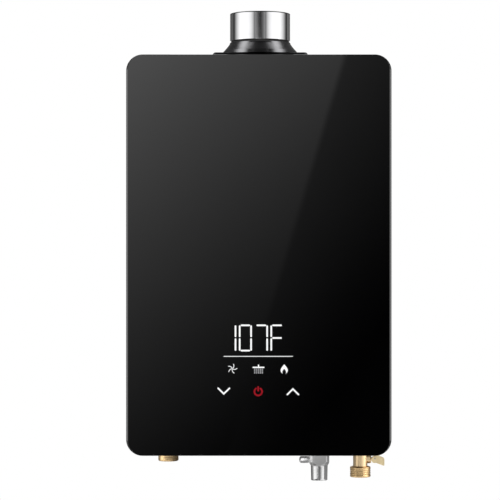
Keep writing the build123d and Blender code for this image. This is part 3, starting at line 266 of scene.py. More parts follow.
# Flue base: a square flange and cone in one casting, enamelled gloss black and screwed to the roof
# over a soft gasket. The cone leads the exhaust up to the collar.
FLUE_X, FLUE_Y = 2.0, -53.0
FLANGE_HALF_WIDE, FLANGE_HALF_DEEP, FLANGE_CORNER = 60.9, 49.2, 5.0
FLANGE_BOTTOM, FLANGE_TOP, FLANGE_EDGE, FLANGE_BEVEL = 254.7, 260.0, 0.5, 2.0
FOOT_R, FOOT_TOP, FOOT_SPREAD = 48.2, 264.5, 2.6
COLLAR_R, CONE_TOP, CONE_CURVE = 39.2, 275.9, 1.2
FLUE_BORE_R = 37.0
FLUE_ROUND = 96
RUBBER_TONES = (0.014, 0.014, 0.014, 1), (0.030, 0.029, 0.028, 1)
ENAMEL_TONES = (0.085, 0.085, 0.088, 1), (0.115, 0.115, 0.118, 1)
FLANGE_BLACK, FLANGE_ROUGHNESS = (0.026, 0.026, 0.027, 1), 0.3
MATT_START, MATT_END = FLANGE_TOP + 0.8, FLANGE_TOP + 0.1
FLANGE_SCREW_R, FLANGE_SCREW_H = 4.0, 0.3
FLANGE_SCREW_X, FLANGE_SCREW_Y = 53, 41
HEAD_ROUND, HEAD_FALL, HEAD_SINK = 48, 0.55, 0.3
RECESS_HALF, RECESS_END, RECESS_WALL, RECESS_DEPTH = 0.13, 0.62, 45, 0.6


def eased(corners, reach, steps=6, beyond=1.3):
    """Rounds the corners of a line: each inner corner becomes a parabola that leaves the line the given
    reach before the corner and meets it again as far behind, point = (1-t)^2 a + 2t(1-t) b + t^2 c. A
    point a little further out on both sides keeps the straight runs flat."""
    corners = np.asarray(corners, float)
    reach = np.broadcast_to(np.asarray(reach, float), len(corners) - 2)[:, None]
    middle = corners[1:-1]
    before, after = corners[:-2] - middle, corners[2:] - middle
    before *= reach / np.linalg.norm(before, axis=1, keepdims=True)
    after *= reach / np.linalg.norm(after, axis=1, keepdims=True)
    t = np.linspace(0, 1, steps)[None, :, None]
    curve = middle[:, None] + (1 - t) ** 2 * before[:, None] + t**2 * after[:, None]
    start, end = (middle + beyond * before)[:, None], (middle + beyond * after)[:, None]
    curve = np.concatenate([start, curve, end], axis=1)
    return np.vstack([corners[:1], curve.reshape(-1, corners.shape[1]), corners[-1:]])


def box_rings(half_wide, half_tall, corner, section, steps):
    """Rings of a rectangle with round corners: for each (inset, height) of the section, four quarter
    circles whose radius is the corner less the inset."""
    section = np.asarray(section, float)
    quarter = np.linspace(0, np.pi / 2, steps)
    angle = (quarter + np.arange(4)[:, None] * np.pi / 2).ravel()
    middle_x = np.repeat([1, -1, -1, 1], steps) * (half_wide - corner)
    middle_y = np.repeat([1, 1, -1, -1], steps) * (half_tall - corner)
    radius = corner - section[:, :1]
    height = np.broadcast_to(section[:, 1:], (len(section), len(angle)))
    return np.stack([middle_x + radius * np.cos(angle), middle_y + radius * np.sin(angle), height], -1)


def swung(reach, angle, height):
    """Rings round the Z axis: a reach for each row and bearing, at the height of its row."""
    x, y = reach * np.cos(angle), reach * np.sin(angle)
    return np.stack([x, y, np.broadcast_to(height, x.shape)], -1)


def round_rings(profile, around, phase=0.0):
    """Rings of a turned piece: each (radius, height) of the profile swung round the Z axis."""
    profile = np.asarray(profile, float)
    angle = (np.arange(around) + phase) * 2 * np.pi / around
    return swung(profile[:, :1], angle, profile[:, 1:])


def screw_rings(radius, height):
    """Rings of a screw head, from its rim to its middle: the height falls off as 1 - (r / R)^4, less a
    cross recess, which is the larger of two slots with soft walls that end at a share of R."""
    share = np.concatenate([[1.0, 1.0], np.linspace(0.97, 0.02, 22)])[:, None]
    angle = np.arange(HEAD_ROUND) * 2 * np.pi / HEAD_ROUND
    x, y = share * np.cos(angle), share * np.sin(angle)
    slots = [1 / (1 + np.exp((abs(a) - RECESS_HALF) * RECESS_WALL))
             / (1 + np.exp((abs(b) - RECESS_END) * RECESS_WALL)) for a, b in ((x, y), (y, x))]
    rise = height * (1 - HEAD_FALL * share**4) - RECESS_DEPTH * height * np.maximum(*slots)
    rise[0] = -HEAD_SINK
    return np.stack([radius * x, radius * y, rise], -1)


def skin(name, material, *shells, crease=0.7):
    """Mesh through shells of rings in millimetres. Quads join each ring to the next; a shell given as
    (rings, "capped") gets a flat face at both ends, and one given as (rings, "joined") closes on itself."""
    points, faces, used = [], [], 0
    for rings, ends in shells:
        count, around = rings.shape[:2]
        index = np.arange(count * around).reshape(count, around) + used
        used += count * around
        if ends == "joined":
            index = np.vstack([index, index[:1]])
        after = np.roll(index, -1, axis=1)
        quads = np.stack([index[:-1], after[:-1], after[1:], index[1:]], axis=-1)
        faces += quads.reshape(-1, 4).tolist()
        if ends == "capped":
            faces += [index[0, ::-1].tolist(), index[-1].tolist()]
        points.append(rings.reshape(-1, 3) * 0.001)
    mesh = bpy.data.meshes.new(name)
    mesh.from_pydata(np.vstack(points).tolist(), [], faces)
    mesh.polygons.foreach_set("use_smooth", np.ones(len(mesh.polygons), bool))
    mesh.set_sharp_from_angle(angle=crease)
    mesh.materials.append(material)
    piece = bpy.data.objects.new(name, mesh)
    bpy.context.scene.collection.objects.link(piece)
    return piece


def fit(piece, body, slot, *replaced):
    """Rides a piece on its body, and hides the CAD nodes that it stands for. The slot is not used."""
    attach(piece, body)
    if replaced:
        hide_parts(*replaced)


def change_by_height(material, channel, other, start, end, share=1.0):
    """Changes a finish over a height in millimetres: its own colour or roughness as far as start, and from
    end on the given share of another."""
    tree = material.node_tree
    height, rise = tree.nodes.new("ShaderNodeSeparateXYZ"), tree.nodes.new("ShaderNodeMapRange")
    rise.inputs["From Min"].default_value, rise.inputs["From Max"].default_value = start * 0.001, end * 0.001
    rise.inputs["To Max"].default_value = share
    change = tree.nodes.new("ShaderNodeMix")
    own_value, own, new, out = ("Roughness", 2, 3, 0)
    if channel == "Base Color":
        change.data_type = "RGBA"
        own_value, own, new, out = ("Color", 6, 7, 2)
    change.inputs[new].default_value = other
    link = tree.links.new
    link(tree.nodes["Texture Coordinate"].outputs["Object"], height.inputs[0])
    link(height.outputs["Z"], rise.inputs["Value"])
    link(rise.outputs[0], change.inputs[0])
    link(tree.nodes["Group"].outputs[own_value], change.inputs[own])
    link(change.outputs[out], tree.nodes["Principled BSDF"].inputs[channel])


rubber = finish(
    "seal_rubber", grain, RUBBER_TONES, roughness=(0.7, 0.85), scales=(1200, 50),
    depth=0.00008, specular=0.15)
dress(rubber, "flue_gasket")
soften(TRAY_EDGE, "flue_gasket")
enamel = finish(
    "black_enamel", lathe, ENAMEL_TONES, roughness=(0.16, 0.22), scales=(700, 30),
    depth=0.000006, metallic=1.0)
change_by_height(enamel, "Base Color", FLANGE_BLACK, MATT_START, MATT_END)
change_by_height(enamel, "Roughness", FLANGE_ROUGHNESS, MATT_START, MATT_END)
flange = box_rings(FLANGE_HALF_WIDE, FLANGE_HALF_DEEP, FLANGE_CORNER, eased(
    [(FLANGE_EDGE, FLANGE_BOTTOM), (0.0, FLANGE_BOTTOM + FLANGE_EDGE), (0.0, FLANGE_TOP - FLANGE_BEVEL),
     (FLANGE_BEVEL, FLANGE_TOP), (2 * FLANGE_BEVEL, FLANGE_TOP)], (0.2, 0.5, 0.6)), FLUE_ROUND // 4)
foot = eased([(FOOT_R + FOOT_SPREAD, FLANGE_TOP), (FOOT_R + 1.2, FLANGE_TOP),
              (FOOT_R + 0.1, FOOT_TOP - 0.4)], 0.5)
rise = np.linspace(0, 1, 16)
flare = np.stack([COLLAR_R + 0.1 + (FOOT_R - COLLAR_R - 0.1) * (1 - rise) ** CONE_CURVE,
                  FOOT_TOP + (CONE_TOP - FOOT_TOP) * rise], -1)
lip = [(COLLAR_R - 0.6, CONE_TOP), (FLUE_BORE_R, CONE_TOP), (FLUE_BORE_R, FLANGE_BOTTOM)]
cone = round_rings(np.vstack([foot, flare, lip]), FLUE_ROUND, phase=0.5)
flue_casting = skin("flue_casting", enamel,
                    (np.concatenate([flange, cone]) + (FLUE_X, FLUE_Y, 0), "joined"))
fit(flue_casting, "casing", "black_steel", "flue_base")

low_head = screw_rings(FLANGE_SCREW_R, FLANGE_SCREW_H)
flange_screws = [(low_head + (FLUE_X + x, FLUE_Y + y, FLANGE_TOP), "capped")
                 for x in (-FLANGE_SCREW_X, FLANGE_SCREW_X) for y in (-FLANGE_SCREW_Y, FLANGE_SCREW_Y)]
fit(skin("flange_screws", powder_coat, *flange_screws), "casing", "screw_steel")


# Collar: a rolled sleeve of polished stainless steel pressed over the cone, where the vent pipe
# slips on. Its rim is burnished round, and the top of the rim is painted near black as painted shade.
# At its foot a black rubber ring in the joint is painted shade for the shadow under the sleeve's edge,
# and a grey fibre ring under it is a painted highlight for the light line on the cone's lip.
COLLAR_FOOT, COLLAR_TOP = 278.6, 314.3
COLLAR_IN_R, COLLAR_OPENING, COLLAR_LEAD = 37.6, 0.4, 3
SHADE_RING_R, SHADE_RING_LOW = 37.8, 276.4
HIGHLIGHT_RING_R, RING_IN_R = 39.5, COLLAR_IN_R - 0.6
POLISH_TONES = (0.70, 0.70, 0.71, 1), (0.80, 0.80, 0.81, 1)
RIM_PAINTED_SHADE = (0.035, 0.035, 0.035, 1)
HIGHLIGHT_FIBRE_TONES = (0.045, 0.045, 0.045, 1), (0.065, 0.065, 0.065, 1)
polish = finish(
    "polished_steel", lathe, POLISH_TONES, roughness=(0.05, 0.075), scales=(900, 25),
    depth=0.0000004, metallic=1.0)
# The top of the rim is painted near black: painted shade, not a colour of the steel.
change_by_height(polish, "Base Color", RIM_PAINTED_SHADE, COLLAR_TOP - 1.45, COLLAR_TOP - 1.1)
collar_profile = eased(
    [(COLLAR_IN_R, COLLAR_FOOT), (COLLAR_R, COLLAR_FOOT), (COLLAR_R, COLLAR_TOP),
     (COLLAR_IN_R + COLLAR_OPENING, COLLAR_TOP), (COLLAR_IN_R + COLLAR_OPENING, COLLAR_TOP - COLLAR_LEAD),
     (COLLAR_IN_R, COLLAR_FOOT + COLLAR_LEAD)], (0.3, 0.55, 0.3, 0.3))
collar = skin("flue_collar_sleeve", polish,
              (round_rings(collar_profile, FLUE_ROUND) + (FLUE_X, FLUE_Y, 0), "joined"))
fit(collar, "casing", "polished_steel", "flue_sleeve")
# The grey fibre ring is a painted highlight: it stands in for the light line on the cone's lip.
highlight_fibre = finish(
    "painted_highlight_fibre", grain, HIGHLIGHT_FIBRE_TONES, roughness=(0.6, 0.75), scales=(900, 60),
    depth=0.00003, specular=0.1)
# Two rings at the collar's foot: the black one stands in for the shadow in the joint (painted shade), and the
# grey one below stands in for the light line on the cone's lip (painted highlight).
for name, material, radius, low, high in (("collar_shade_ring", rubber, SHADE_RING_R, SHADE_RING_LOW, COLLAR_FOOT),
                                          ("collar_highlight_ring", highlight_fibre, HIGHLIGHT_RING_R, CONE_TOP, SHADE_RING_LOW)):
    ring = eased([(RING_IN_R, low), (radius, low), (radius, high), (RING_IN_R, high)], 0.15)
    ring = skin(name, material, (round_rings(ring, FLUE_ROUND) + (FLUE_X, FLUE_Y, 0), "joined"))
    fit(ring, "casing", "gasket_rubber")


# Gas connection: a stub of turned brass with a shallow pipe thread, screwed into the gas valve
# through the floor. Its lower edge is rolled over so that a union nut starts easily.
FITTING_Y = -62.0
FLOOR_Z = -251.7
GAS_X, GAS_R, GAS_BORE_R, GAS_END_Z = -117.3, 13.2, 7.5, -267.7
GAS_PITCH, GAS_THREAD_DEPTH, GAS_THREAD_START = 2.3, 0.22, 3.0
GAS_NECK_R, GAS_NECK_TOP = 9.0, -190.0
GAS_ROUND = 72
BRASS_TONES = (0.71, 0.485, 0.23, 1), (0.85, 0.61, 0.33, 1)


def thread_rings(radius, depth, pitch, low, high, rows, around):
    """Rings of a screw thread: radius less depth times half of 1 - cos of the turn, which climbs one
    pitch for each time round; the groove fades out over the last pitch at both ends."""
    height = np.linspace(low, high, rows)[:, None]
    angle = np.arange(around) * 2 * np.pi / around
    groove = 0.5 - 0.5 * np.cos(2 * np.pi * height / pitch - angle)
    fade = np.clip(np.minimum(height - low, high - height) / pitch, 0, 1)
    return swung(radius - depth * groove * fade, angle, height)


brass = finish(
    "turned_brass", lathe, BRASS_TONES, roughness=(0.30, 0.40), scales=(1500, 120),
    depth=0.000008, metallic=1.0)
gas_foot = round_rings(eased(
    [(GAS_BORE_R, GAS_END_Z + 1), (GAS_BORE_R + 0.6, GAS_END_Z), (GAS_R, GAS_END_Z),
     (GAS_R, GAS_END_Z + GAS_THREAD_START)], (0.4, 2.2)), GAS_ROUND)
gas_thread = thread_rings(GAS_R, GAS_THREAD_DEPTH, GAS_PITCH, GAS_END_Z + GAS_THREAD_START + 0.1,
                          FLOOR_Z - 0.5, 60, GAS_ROUND)
gas_head = round_rings([(GAS_R, FLOOR_Z), (GAS_NECK_R, FLOOR_Z), (GAS_NECK_R, GAS_NECK_TOP),
                        (GAS_BORE_R, GAS_NECK_TOP)], GAS_ROUND)
gas_rings = np.concatenate([gas_foot, gas_thread, gas_head])
gas_stub = skin("gas_stub", brass, (gas_rings + (GAS_X, FITTING_Y, 0), "joined"))
fit(gas_stub, "casing", "brass", "gas_inlet_fitting")
dress(brass, "gas_nozzles", "flow_sensor_body", "relief_cap", "relief_stem")


# Cold water inlet: a forged body with flats for a wrench and a turned stub below, plated with nickel.
# A cone turned on its lower end cuts the flats in arcs. A drain plug screws into its left side.
COLD_X, COLD_STUB_TOP_R, COLD_STUB_END_R, COLD_BORE_R, COLD_END_Z = 78.9, 11.0, 10.6, 7.3, -292.8
COLD_HALF_WIDE, COLD_HALF_DEEP, COLD_CORNER_CUT = 12.8, 11.4, 3.6
COLD_SHOULDER_Z, COLD_SHOULDER_SLOPE, COLD_ARC_TOP = -273.4, 0.727, -264.0
COLD_NECK_R, COLD_NECK_TOP = 9.0, -243.0
FLAT_BLEND, CONE_BLEND, ARC_BLEND = 0.2, 0.3, 0.25
COLD_ROUND = 144
PALE_TONES = (0.66, 0.66, 0.66, 1), (0.76, 0.76, 0.76, 1)
NICKEL_TONES = (0.61, 0.61, 0.61, 1), (0.71, 0.71, 0.71, 1)
STUB_ROUGHNESS = 0.14
DRAIN_Z, DRAIN_END_X, DRAIN_SHOULDER_X, DRAIN_SHANK_X = -266.2, 52.8, 64.0, 71.0
DRAIN_HEAD_R, DRAIN_SHANK_R, DRAIN_DOME = 4.4, 3.0, 2.6


def least(blend, *fields):
    """Smooth minimum of radius fields: minus blend times the log of the sum of exp(-field / blend)."""
    return -blend * np.log(sum(np.exp(-field / blend) for field in fields))


def along_x(rings):
    """Lays rings that were turned round the Z axis along the X axis."""
    return np.stack([rings[..., 2], rings[..., 0], rings[..., 1]], -1)


cast_nickel = finish(
    "cast_nickel", grain, NICKEL_TONES, roughness=(0.38, 0.48), scales=(900, 60),
    depth=0.00002, metallic=1.0)
change_by_height(cast_nickel, "Roughness", STUB_ROUGHNESS, COLD_SHOULDER_Z + 0.2, COLD_SHOULDER_Z - 0.6)
angle = np.arange(COLD_ROUND) * 2 * np.pi / COLD_ROUND
across, deep = np.maximum(abs(np.cos(angle)), 1e-3), np.maximum(abs(np.sin(angle)), 1e-3)
flats = least(FLAT_BLEND, COLD_HALF_WIDE / across, COLD_HALF_DEEP / deep,
              (COLD_HALF_WIDE + COLD_HALF_DEEP - COLD_CORNER_CUT) / (across + deep))
rows = np.concatenate([np.linspace(COLD_END_Z + 1.4, COLD_SHOULDER_Z - 1.0, 12),
                       np.linspace(COLD_SHOULDER_Z - 0.8, COLD_ARC_TOP, 40),
                       np.linspace(COLD_ARC_TOP + 1.0, FLOOR_Z - 0.3, 6)])[:, None]
down = np.clip((COLD_SHOULDER_Z - rows) / (COLD_SHOULDER_Z - COLD_END_Z), 0, 1)
stub_radius = COLD_STUB_TOP_R + (COLD_STUB_END_R - COLD_STUB_TOP_R) * down
cone_radius = CONE_BLEND * np.log1p(np.exp((rows - COLD_SHOULDER_Z) * COLD_SHOULDER_SLOPE / CONE_BLEND))
out = least(ARC_BLEND, stub_radius + cone_radius, np.broadcast_to(flats, (len(rows), COLD_ROUND)))
cold_walls = swung(out, angle, rows)
cold_foot = round_rings(eased(
    [(COLD_BORE_R, COLD_END_Z + 1.2), (COLD_BORE_R + 0.5, COLD_END_Z), (COLD_STUB_END_R, COLD_END_Z),
     (COLD_STUB_END_R, COLD_END_Z + 1.3)], (0.3, 0.9)), COLD_ROUND)
cold_neck = round_rings([(COLD_NECK_R, FLOOR_Z), (COLD_NECK_R, COLD_NECK_TOP),
                         (COLD_BORE_R, COLD_NECK_TOP)], COLD_ROUND)
cold_rings = np.concatenate([cold_foot, cold_walls, cold_neck])
cold_body = skin("cold_inlet_body", cast_nickel, (cold_rings + (COLD_X, FITTING_Y, 0), "joined"))
fit(cold_body, "casing", "nickel_brass", "cold_inlet_fitting")

nickel = finish(
    "turned_nickel", lathe, NICKEL_TONES, roughness=(0.26, 0.34), scales=(1500, 90),
    depth=0.000008, metallic=0.6, turn=(0, math.pi / 2, 0))
dome = np.linspace(0.06, np.pi / 2, 12)
plug_profile = np.vstack([
    np.stack([DRAIN_HEAD_R * np.sin(dome), DRAIN_END_X + DRAIN_DOME * (1 - np.cos(dome))], -1),
    eased([(DRAIN_HEAD_R, DRAIN_END_X + DRAIN_DOME + 0.4), (DRAIN_HEAD_R, DRAIN_SHOULDER_X),
           (DRAIN_SHANK_R, DRAIN_SHOULDER_X), (DRAIN_SHANK_R, DRAIN_SHANK_X)], (0.5, 0.2))])
plug_rings = along_x(round_rings(plug_profile, 48))
drain_plug = skin("drain_screw_plug", nickel, (plug_rings + (0, FITTING_Y, DRAIN_Z), "capped"))
fit(drain_plug, "drain_screw", "nickel_brass", "drain_plug")
pale_rubber = finish(
    "pale_rubber", grain, PALE_TONES, roughness=(0.45, 0.6), scales=(1200, 50), depth=0.00003)
dress(pale_rubber, "drain_plug_seal")


# Hot water outlet: a brass tube with a ring threaded for a hose coupling at its end. A six-sided boss
# on its right holds the relief valve, whose lever hangs at a slant and lifts the stem by a cam heel.
HOT_X, HOT_TUBE_R, HOT_RING_R, HOT_BORE_R = 132.3, 9.3, 13.45, 6.35
HOT_RING_TOP, HOT_END_Z, HOT_NECK_R, HOT_NECK_TOP = -275.0, -288.5, 9.0, -214.0
HOSE_PITCH, HOSE_THREAD_DEPTH = 2.6, 0.6
HOT_ROUND = 96
TUBE_BRASS, TUBE_SHARE = (0.90, 0.71, 0.46, 1), 0.6
BOSS_Z, BOSS_R, BOSS_START, BOSS_END, BOSS_BLEND = -264.5, 5.8, 139.0, 145.2, 0.35
BOSS_ROUND = 72
VALVE_ROOM_R, VALVE_SEAT_R, VALVE_SEAT_X = 4.6, 2.0, 139.8
SPRING_FOOT, SPRING_LENGTH, SPRING_TURNS = 141.6, 3.6, 3
COIL_R, WIRE_R = 3.45, 0.35
LEVER_TONES = (0.72, 0.58, 0.33, 1), (0.86, 0.72, 0.45, 1)
LEVER_EDGE, CAP_EDGE = 0.5, 0.2

hose_brass = brass.copy()
hose_brass.name = "hose_brass"
change_by_height(hose_brass, "Base Color", TUBE_BRASS, HOT_RING_TOP, HOT_RING_TOP + 1.0, TUBE_SHARE)
hot_foot = round_rings(eased(
    [(HOT_BORE_R, HOT_END_Z + 1.2), (HOT_BORE_R + 0.5, HOT_END_Z), (HOT_RING_R - 0.7, HOT_END_Z),
     (HOT_RING_R, HOT_END_Z + 1.0)], (0.3, 0.3)), HOT_ROUND)
hot_thread = thread_rings(HOT_RING_R, HOSE_THREAD_DEPTH, HOSE_PITCH, HOT_END_Z + 1.2,
                          HOT_RING_TOP - 1.3, 80, HOT_ROUND)
hot_tube = round_rings(eased(
    [(HOT_RING_R, HOT_RING_TOP - 1.2), (HOT_RING_R - 0.3, HOT_RING_TOP - 0.4),
     (HOT_TUBE_R + 1.6, HOT_RING_TOP + 0.4), (HOT_TUBE_R, HOT_RING_TOP + 0.6), (HOT_TUBE_R, FLOOR_Z)],
    (0.3, 0.5, 0.3)), HOT_ROUND)
hot_neck = round_rings([(HOT_NECK_R, FLOOR_Z), (HOT_NECK_R, HOT_NECK_TOP), (HOT_BORE_R, HOT_NECK_TOP)],
                       HOT_ROUND)
hot_rings = np.concatenate([hot_foot, hot_thread, hot_tube, hot_neck])
turn = np.arange(BOSS_ROUND) * 2 * np.pi / BOSS_ROUND
sixth = np.arange(3)[:, None] * np.pi / 3
hexagon = least(BOSS_BLEND, *(BOSS_R / np.maximum(abs(np.cos(turn - sixth)), 1e-3)))
boss_rows = eased([(1.0, BOSS_START), (1.0, BOSS_END), (0.85, BOSS_END)], 0.05)
room = np.outer([VALVE_ROOM_R, VALVE_ROOM_R, VALVE_SEAT_R, VALVE_SEAT_R], np.ones(BOSS_ROUND))
out = np.vstack([np.outer(boss_rows[:, 0], hexagon), room])
place = np.concatenate([boss_rows[:, 1], [BOSS_END, VALVE_SEAT_X, VALVE_SEAT_X, BOSS_START]])[:, None]
boss = swung(out, turn, place)
hot_outlet = skin("hot_outlet_body", hose_brass, (hot_rings + (HOT_X, FITTING_Y, 0), "joined"),
                  (along_x(boss) + (0, FITTING_Y, BOSS_Z), "joined"))
fit(hot_outlet, "casing", "brass", "hot_outlet_fitting")

# The spring is a helix round the stem: x grows evenly with the turn while the wire's round section,
# cos w along X and sin w outwards, is carried along it.
along = np.linspace(0, 1, 97)[:, None]
section = np.arange(10) * 2 * np.pi / 10
coil_turn = SPRING_TURNS * 2 * np.pi * along
reach = COIL_R + WIRE_R * np.sin(section)
coil = np.stack([SPRING_FOOT + WIRE_R + (SPRING_LENGTH - 2 * WIRE_R) * along + WIRE_R * np.cos(section),
                 FITTING_Y + reach * np.cos(coil_turn), BOSS_Z + reach * np.sin(coil_turn)], -1)
relief_coil = skin("relief_coil", bright_steel, (coil, "capped"))
fit(relief_coil, "casing", "screw_steel", "relief_spring")
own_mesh(relief_coil)

tumbled_brass = finish(
    "tumbled_brass", grain, LEVER_TONES, roughness=(0.42, 0.54), scales=(900, 120),
    depth=0.00003, metallic=0.6)
dress(tumbled_brass, "relief_lever")
soften(LEVER_EDGE, "relief_lever")
soften(CAP_EDGE, "relief_cap")


# Front cover: a shallow lid of the same sheet that slips over the tray's rim, with bent edges and a
# window for the display. Screws at its sides hold it, and the glass is bonded to its face.
COVER_HALF_WIDE, COVER_HALF_TALL, COVER_CORNER = 166.5, 253.0, 20.0
COVER_BACK, COVER_FACE, COVER_SHEET, COVER_TURN = -104.0, -131.0, 1.0, 4.0
COVER_INSIDE = COVER_FACE + COVER_SHEET
WINDOW_HALF_WIDE, WINDOW_HALF_TALL, WINDOW_CORNER, WINDOW_Z = 53.0, 47.0, 3.0, -133.0
COVER_STEPS = 12
SCREW_R, SCREW_H = 3.4, 2.0
SCREW_Y, SCREW_Z = -108.0, 170.0


def upright(rings, lift=0.0):
    """Stands rings drawn on the (x, y) plane up as (x, z), with their heights as places along Y."""
    return np.stack([rings[..., 0], rings[..., 2], rings[..., 1] + lift], -1)


outside = eased([(0.5, COVER_BACK), (0.0, COVER_BACK - 0.5), (0.0, COVER_FACE), (COVER_TURN, COVER_FACE)],
                (0.3, 2.4))
inside = eased([(COVER_TURN, COVER_INSIDE), (COVER_SHEET, COVER_INSIDE), (COVER_SHEET, COVER_BACK)], 1.2)
outer, inner = (upright(box_rings(COVER_HALF_WIDE, COVER_HALF_TALL, COVER_CORNER, wall, COVER_STEPS))
                for wall in (outside, inside))
window = upright(box_rings(WINDOW_HALF_WIDE, WINDOW_HALF_TALL, WINDOW_CORNER,
                           [(0, COVER_FACE), (0, COVER_INSIDE)], COVER_STEPS), WINDOW_Z)
cover = skin("cover_shell", powder_coat, (np.concatenate([outer, window, inner]), "joined"))
fit(cover, "casing", "black_steel", "front_cover")

head = along_x(screw_rings(SCREW_R, SCREW_H))
screws = [(head * (sign, sign, 1) + (sign * COVER_HALF_WIDE, SCREW_Y, z), "capped")
          for sign in (-1, 1) for z in (-SCREW_Z, SCREW_Z)]
fit(skin("cover_screws", bright_steel, *screws), "casing", "screw_steel")


# Front glass: a sheet of toughened glass, printed black on its back and bonded to the cover. Its long
# edges are ground to a narrow bevel that catches the light, and its top and bottom are only eased.
GLASS_HALF_WIDE, GLASS_HALF_TALL, GLASS_CORNER = 168.0, 254.0, 21.0
GLASS_BACK, GLASS_FACE, GLASS_EDGE, GLASS_BEVEL = -131.0, -135.0, 0.4, 2.0
BEVEL_WIDE, BEVEL_TALL = 2.4, 0.3
GLASS_STEPS = 24
GLASS_TONES = (0.0004, 0.0004, 0.0005, 1), (0.0008, 0.0008, 0.0009, 1)
black_glass = finish("black_glass", grain, GLASS_TONES, roughness=(0.010, 0.022), scales=(40, 6), depth=0.0)
glass_edge = eased([(GLASS_EDGE, GLASS_BACK), (0.0, GLASS_BACK - GLASS_EDGE), (0.0, GLASS_FACE + GLASS_BEVEL),
                    (BEVEL_WIDE, GLASS_FACE), (BEVEL_WIDE + 2, GLASS_FACE)], (0.2, 0.3, 0.25))
glass_rings = upright(box_rings(GLASS_HALF_WIDE, GLASS_HALF_TALL, GLASS_CORNER, glass_edge, GLASS_STEPS))
inset = glass_edge[:, :1]
glass_rings[..., 2] *= (GLASS_HALF_TALL - inset * BEVEL_TALL / BEVEL_WIDE) / (GLASS_HALF_TALL - inset)
glass = skin("front_glass", black_glass, (glass_rings, "capped"))
fit(glass, "casing", "black_glass", "glass_panel")


# Lit display: white segments, symbols and touch marks that shine through clear places in the print.
# They are drawn as thin lights on the glass, a digit being two columns and three bars.
LIT_BACK, LIT_FRONT = GLASS_FACE + 0.05, GLASS_FACE - 0.09
UNLIT_TONES = (0.003, 0.003, 0.003, 1), (0.005, 0.005, 0.005, 1)
LIT_SCALES = (400, 90)
SEGMENT = 2.15
TOP_BAR, MIDDLE_BAR, LOW_BAR = -88.75, -104.75, -120.7
UPPER_LEG, LOWER_LEG = (-88.8, -103.7), (-105.2, -120.9)
BAR_INSET = 1.2
ONE_X, ZERO_X, SEVEN_X, F_X = -29.5, (-24.2, -9.8), (-4.2, 10.5), (15.7, 30.3)
RULE_LEFT, RULE_RIGHT, RULE_Z, RULE_WIDTH = -44.6, 43.2, -128.0, 0.95
FAN_X, FAN_Z = -33.45, -143.6
BLADES, FIRST_BLADE = 5, 4
BLADE_ROOT, BLADE_REACH, BLADE_SWEEP, BLADE_WIDTH = 0.8, 5.9, math.radians(38), 0.85
SHOWER_X, SHOWER_Z, SHOWER_HALF, SHOWER_WIDTH = -0.4, -141.9, 7.6, 1.7
STEM_TOP, STEM_LOW, STEM_WIDTH = 3.6, -0.4, 1.6
SPRAY_HALF, SPRAY_DROPS, DROP_LENGTH, DROP_WIDTH = 4.8, (1.2, 3.5, 5.8), 2.1, 1.8
FLAME_X, FLAME_FOOT = 32.1, -150.5
ARROW_WIDTH, ARROW_RISE = 2.0, 6.9
POWER_X, POWER_Z, POWER_R, POWER_WIDTH = -0.8, -172.6, 4.8, 2.2
POWER_TOP, POWER_LOW = 7.0, 0.2


def stroke(path, width):
    """Outline of a line drawn with a round pen: the path shifted half the width to each side, mitred at
    its corners, with a half circle round each end."""
    path = np.asarray(path, float)
    run = np.diff(path, axis=0)
    run /= np.linalg.norm(run, axis=1, keepdims=True)
    side = np.stack([-run[:, 1], run[:, 0]], -1)
    mitre = (side[:-1] + side[1:]) / (1 + (side[:-1] * side[1:]).sum(1, keepdims=True))
    side = np.vstack([side[:1], mitre, side[-1:]]) * width / 2
    turn = np.linspace(0, np.pi, 12)[1:-1, None]
    far = path[-1] - side[-1] * np.cos(turn) + run[-1] * width / 2 * np.sin(turn)
    near = path[0] + side[0] * np.cos(turn) - run[0] * width / 2 * np.sin(turn)
    return np.vstack([path - side, far, (path + side)[::-1], near])


def segment(x0, z0, x1, z1, width=SEGMENT):
    """One lit bar whose round ends reach the two given points."""
    ends = np.array([(x0, z0), (x1, z1)], float)
    along = (ends[1] - ends[0]) / np.linalg.norm(ends[1] - ends[0]) * width / 2
    return stroke([ends[0] + along, ends[1] - along], width)


def around(x, z, reach, bearing):
    """Points at a reach and a bearing from a middle."""
    return np.stack([x + reach * np.cos(bearing), z + reach * np.sin(bearing)], -1)


def lights(name, material, outlines):
    """Thin plates on the glass, one for each outline, from just inside its face to just in front."""
    shells = []
    for outline in outlines:
        flat = np.stack([outline[:, 0], np.zeros(len(outline)), outline[:, 1]], -1)
        shells.append((np.stack([flat + (0, LIT_BACK, 0), flat + (0, LIT_FRONT, 0)]), "capped"))
    fit(skin(name, material, *shells), "casing", "clear_plastic")


def glow(name, dark, light):
    """Material of a lit mark: its glow drifts a little between two colours, as a light guide's does."""
    material = finish(name, grain, UNLIT_TONES, roughness=(0.02, 0.04), scales=LIT_SCALES,
                      depth=0.0)
    tree = material.node_tree
    shader = tree.nodes["Principled BSDF"]
    shader.inputs["Emission Strength"].default_value = 1.0
    shine = tree.nodes.new("ShaderNodeGroup")
    shine.node_tree = grain
    shine.inputs["Dark"].default_value, shine.inputs["Light"].default_value = dark, light
    shine.inputs["Scale"].default_value, shine.inputs["Broad Scale"].default_value = LIT_SCALES
    tree.links.new(tree.nodes["Texture Coordinate"].outputs["Object"], shine.inputs["Vector"])
    tree.links.new(shine.outputs["Color"], shader.inputs["Emission Color"])
    return material


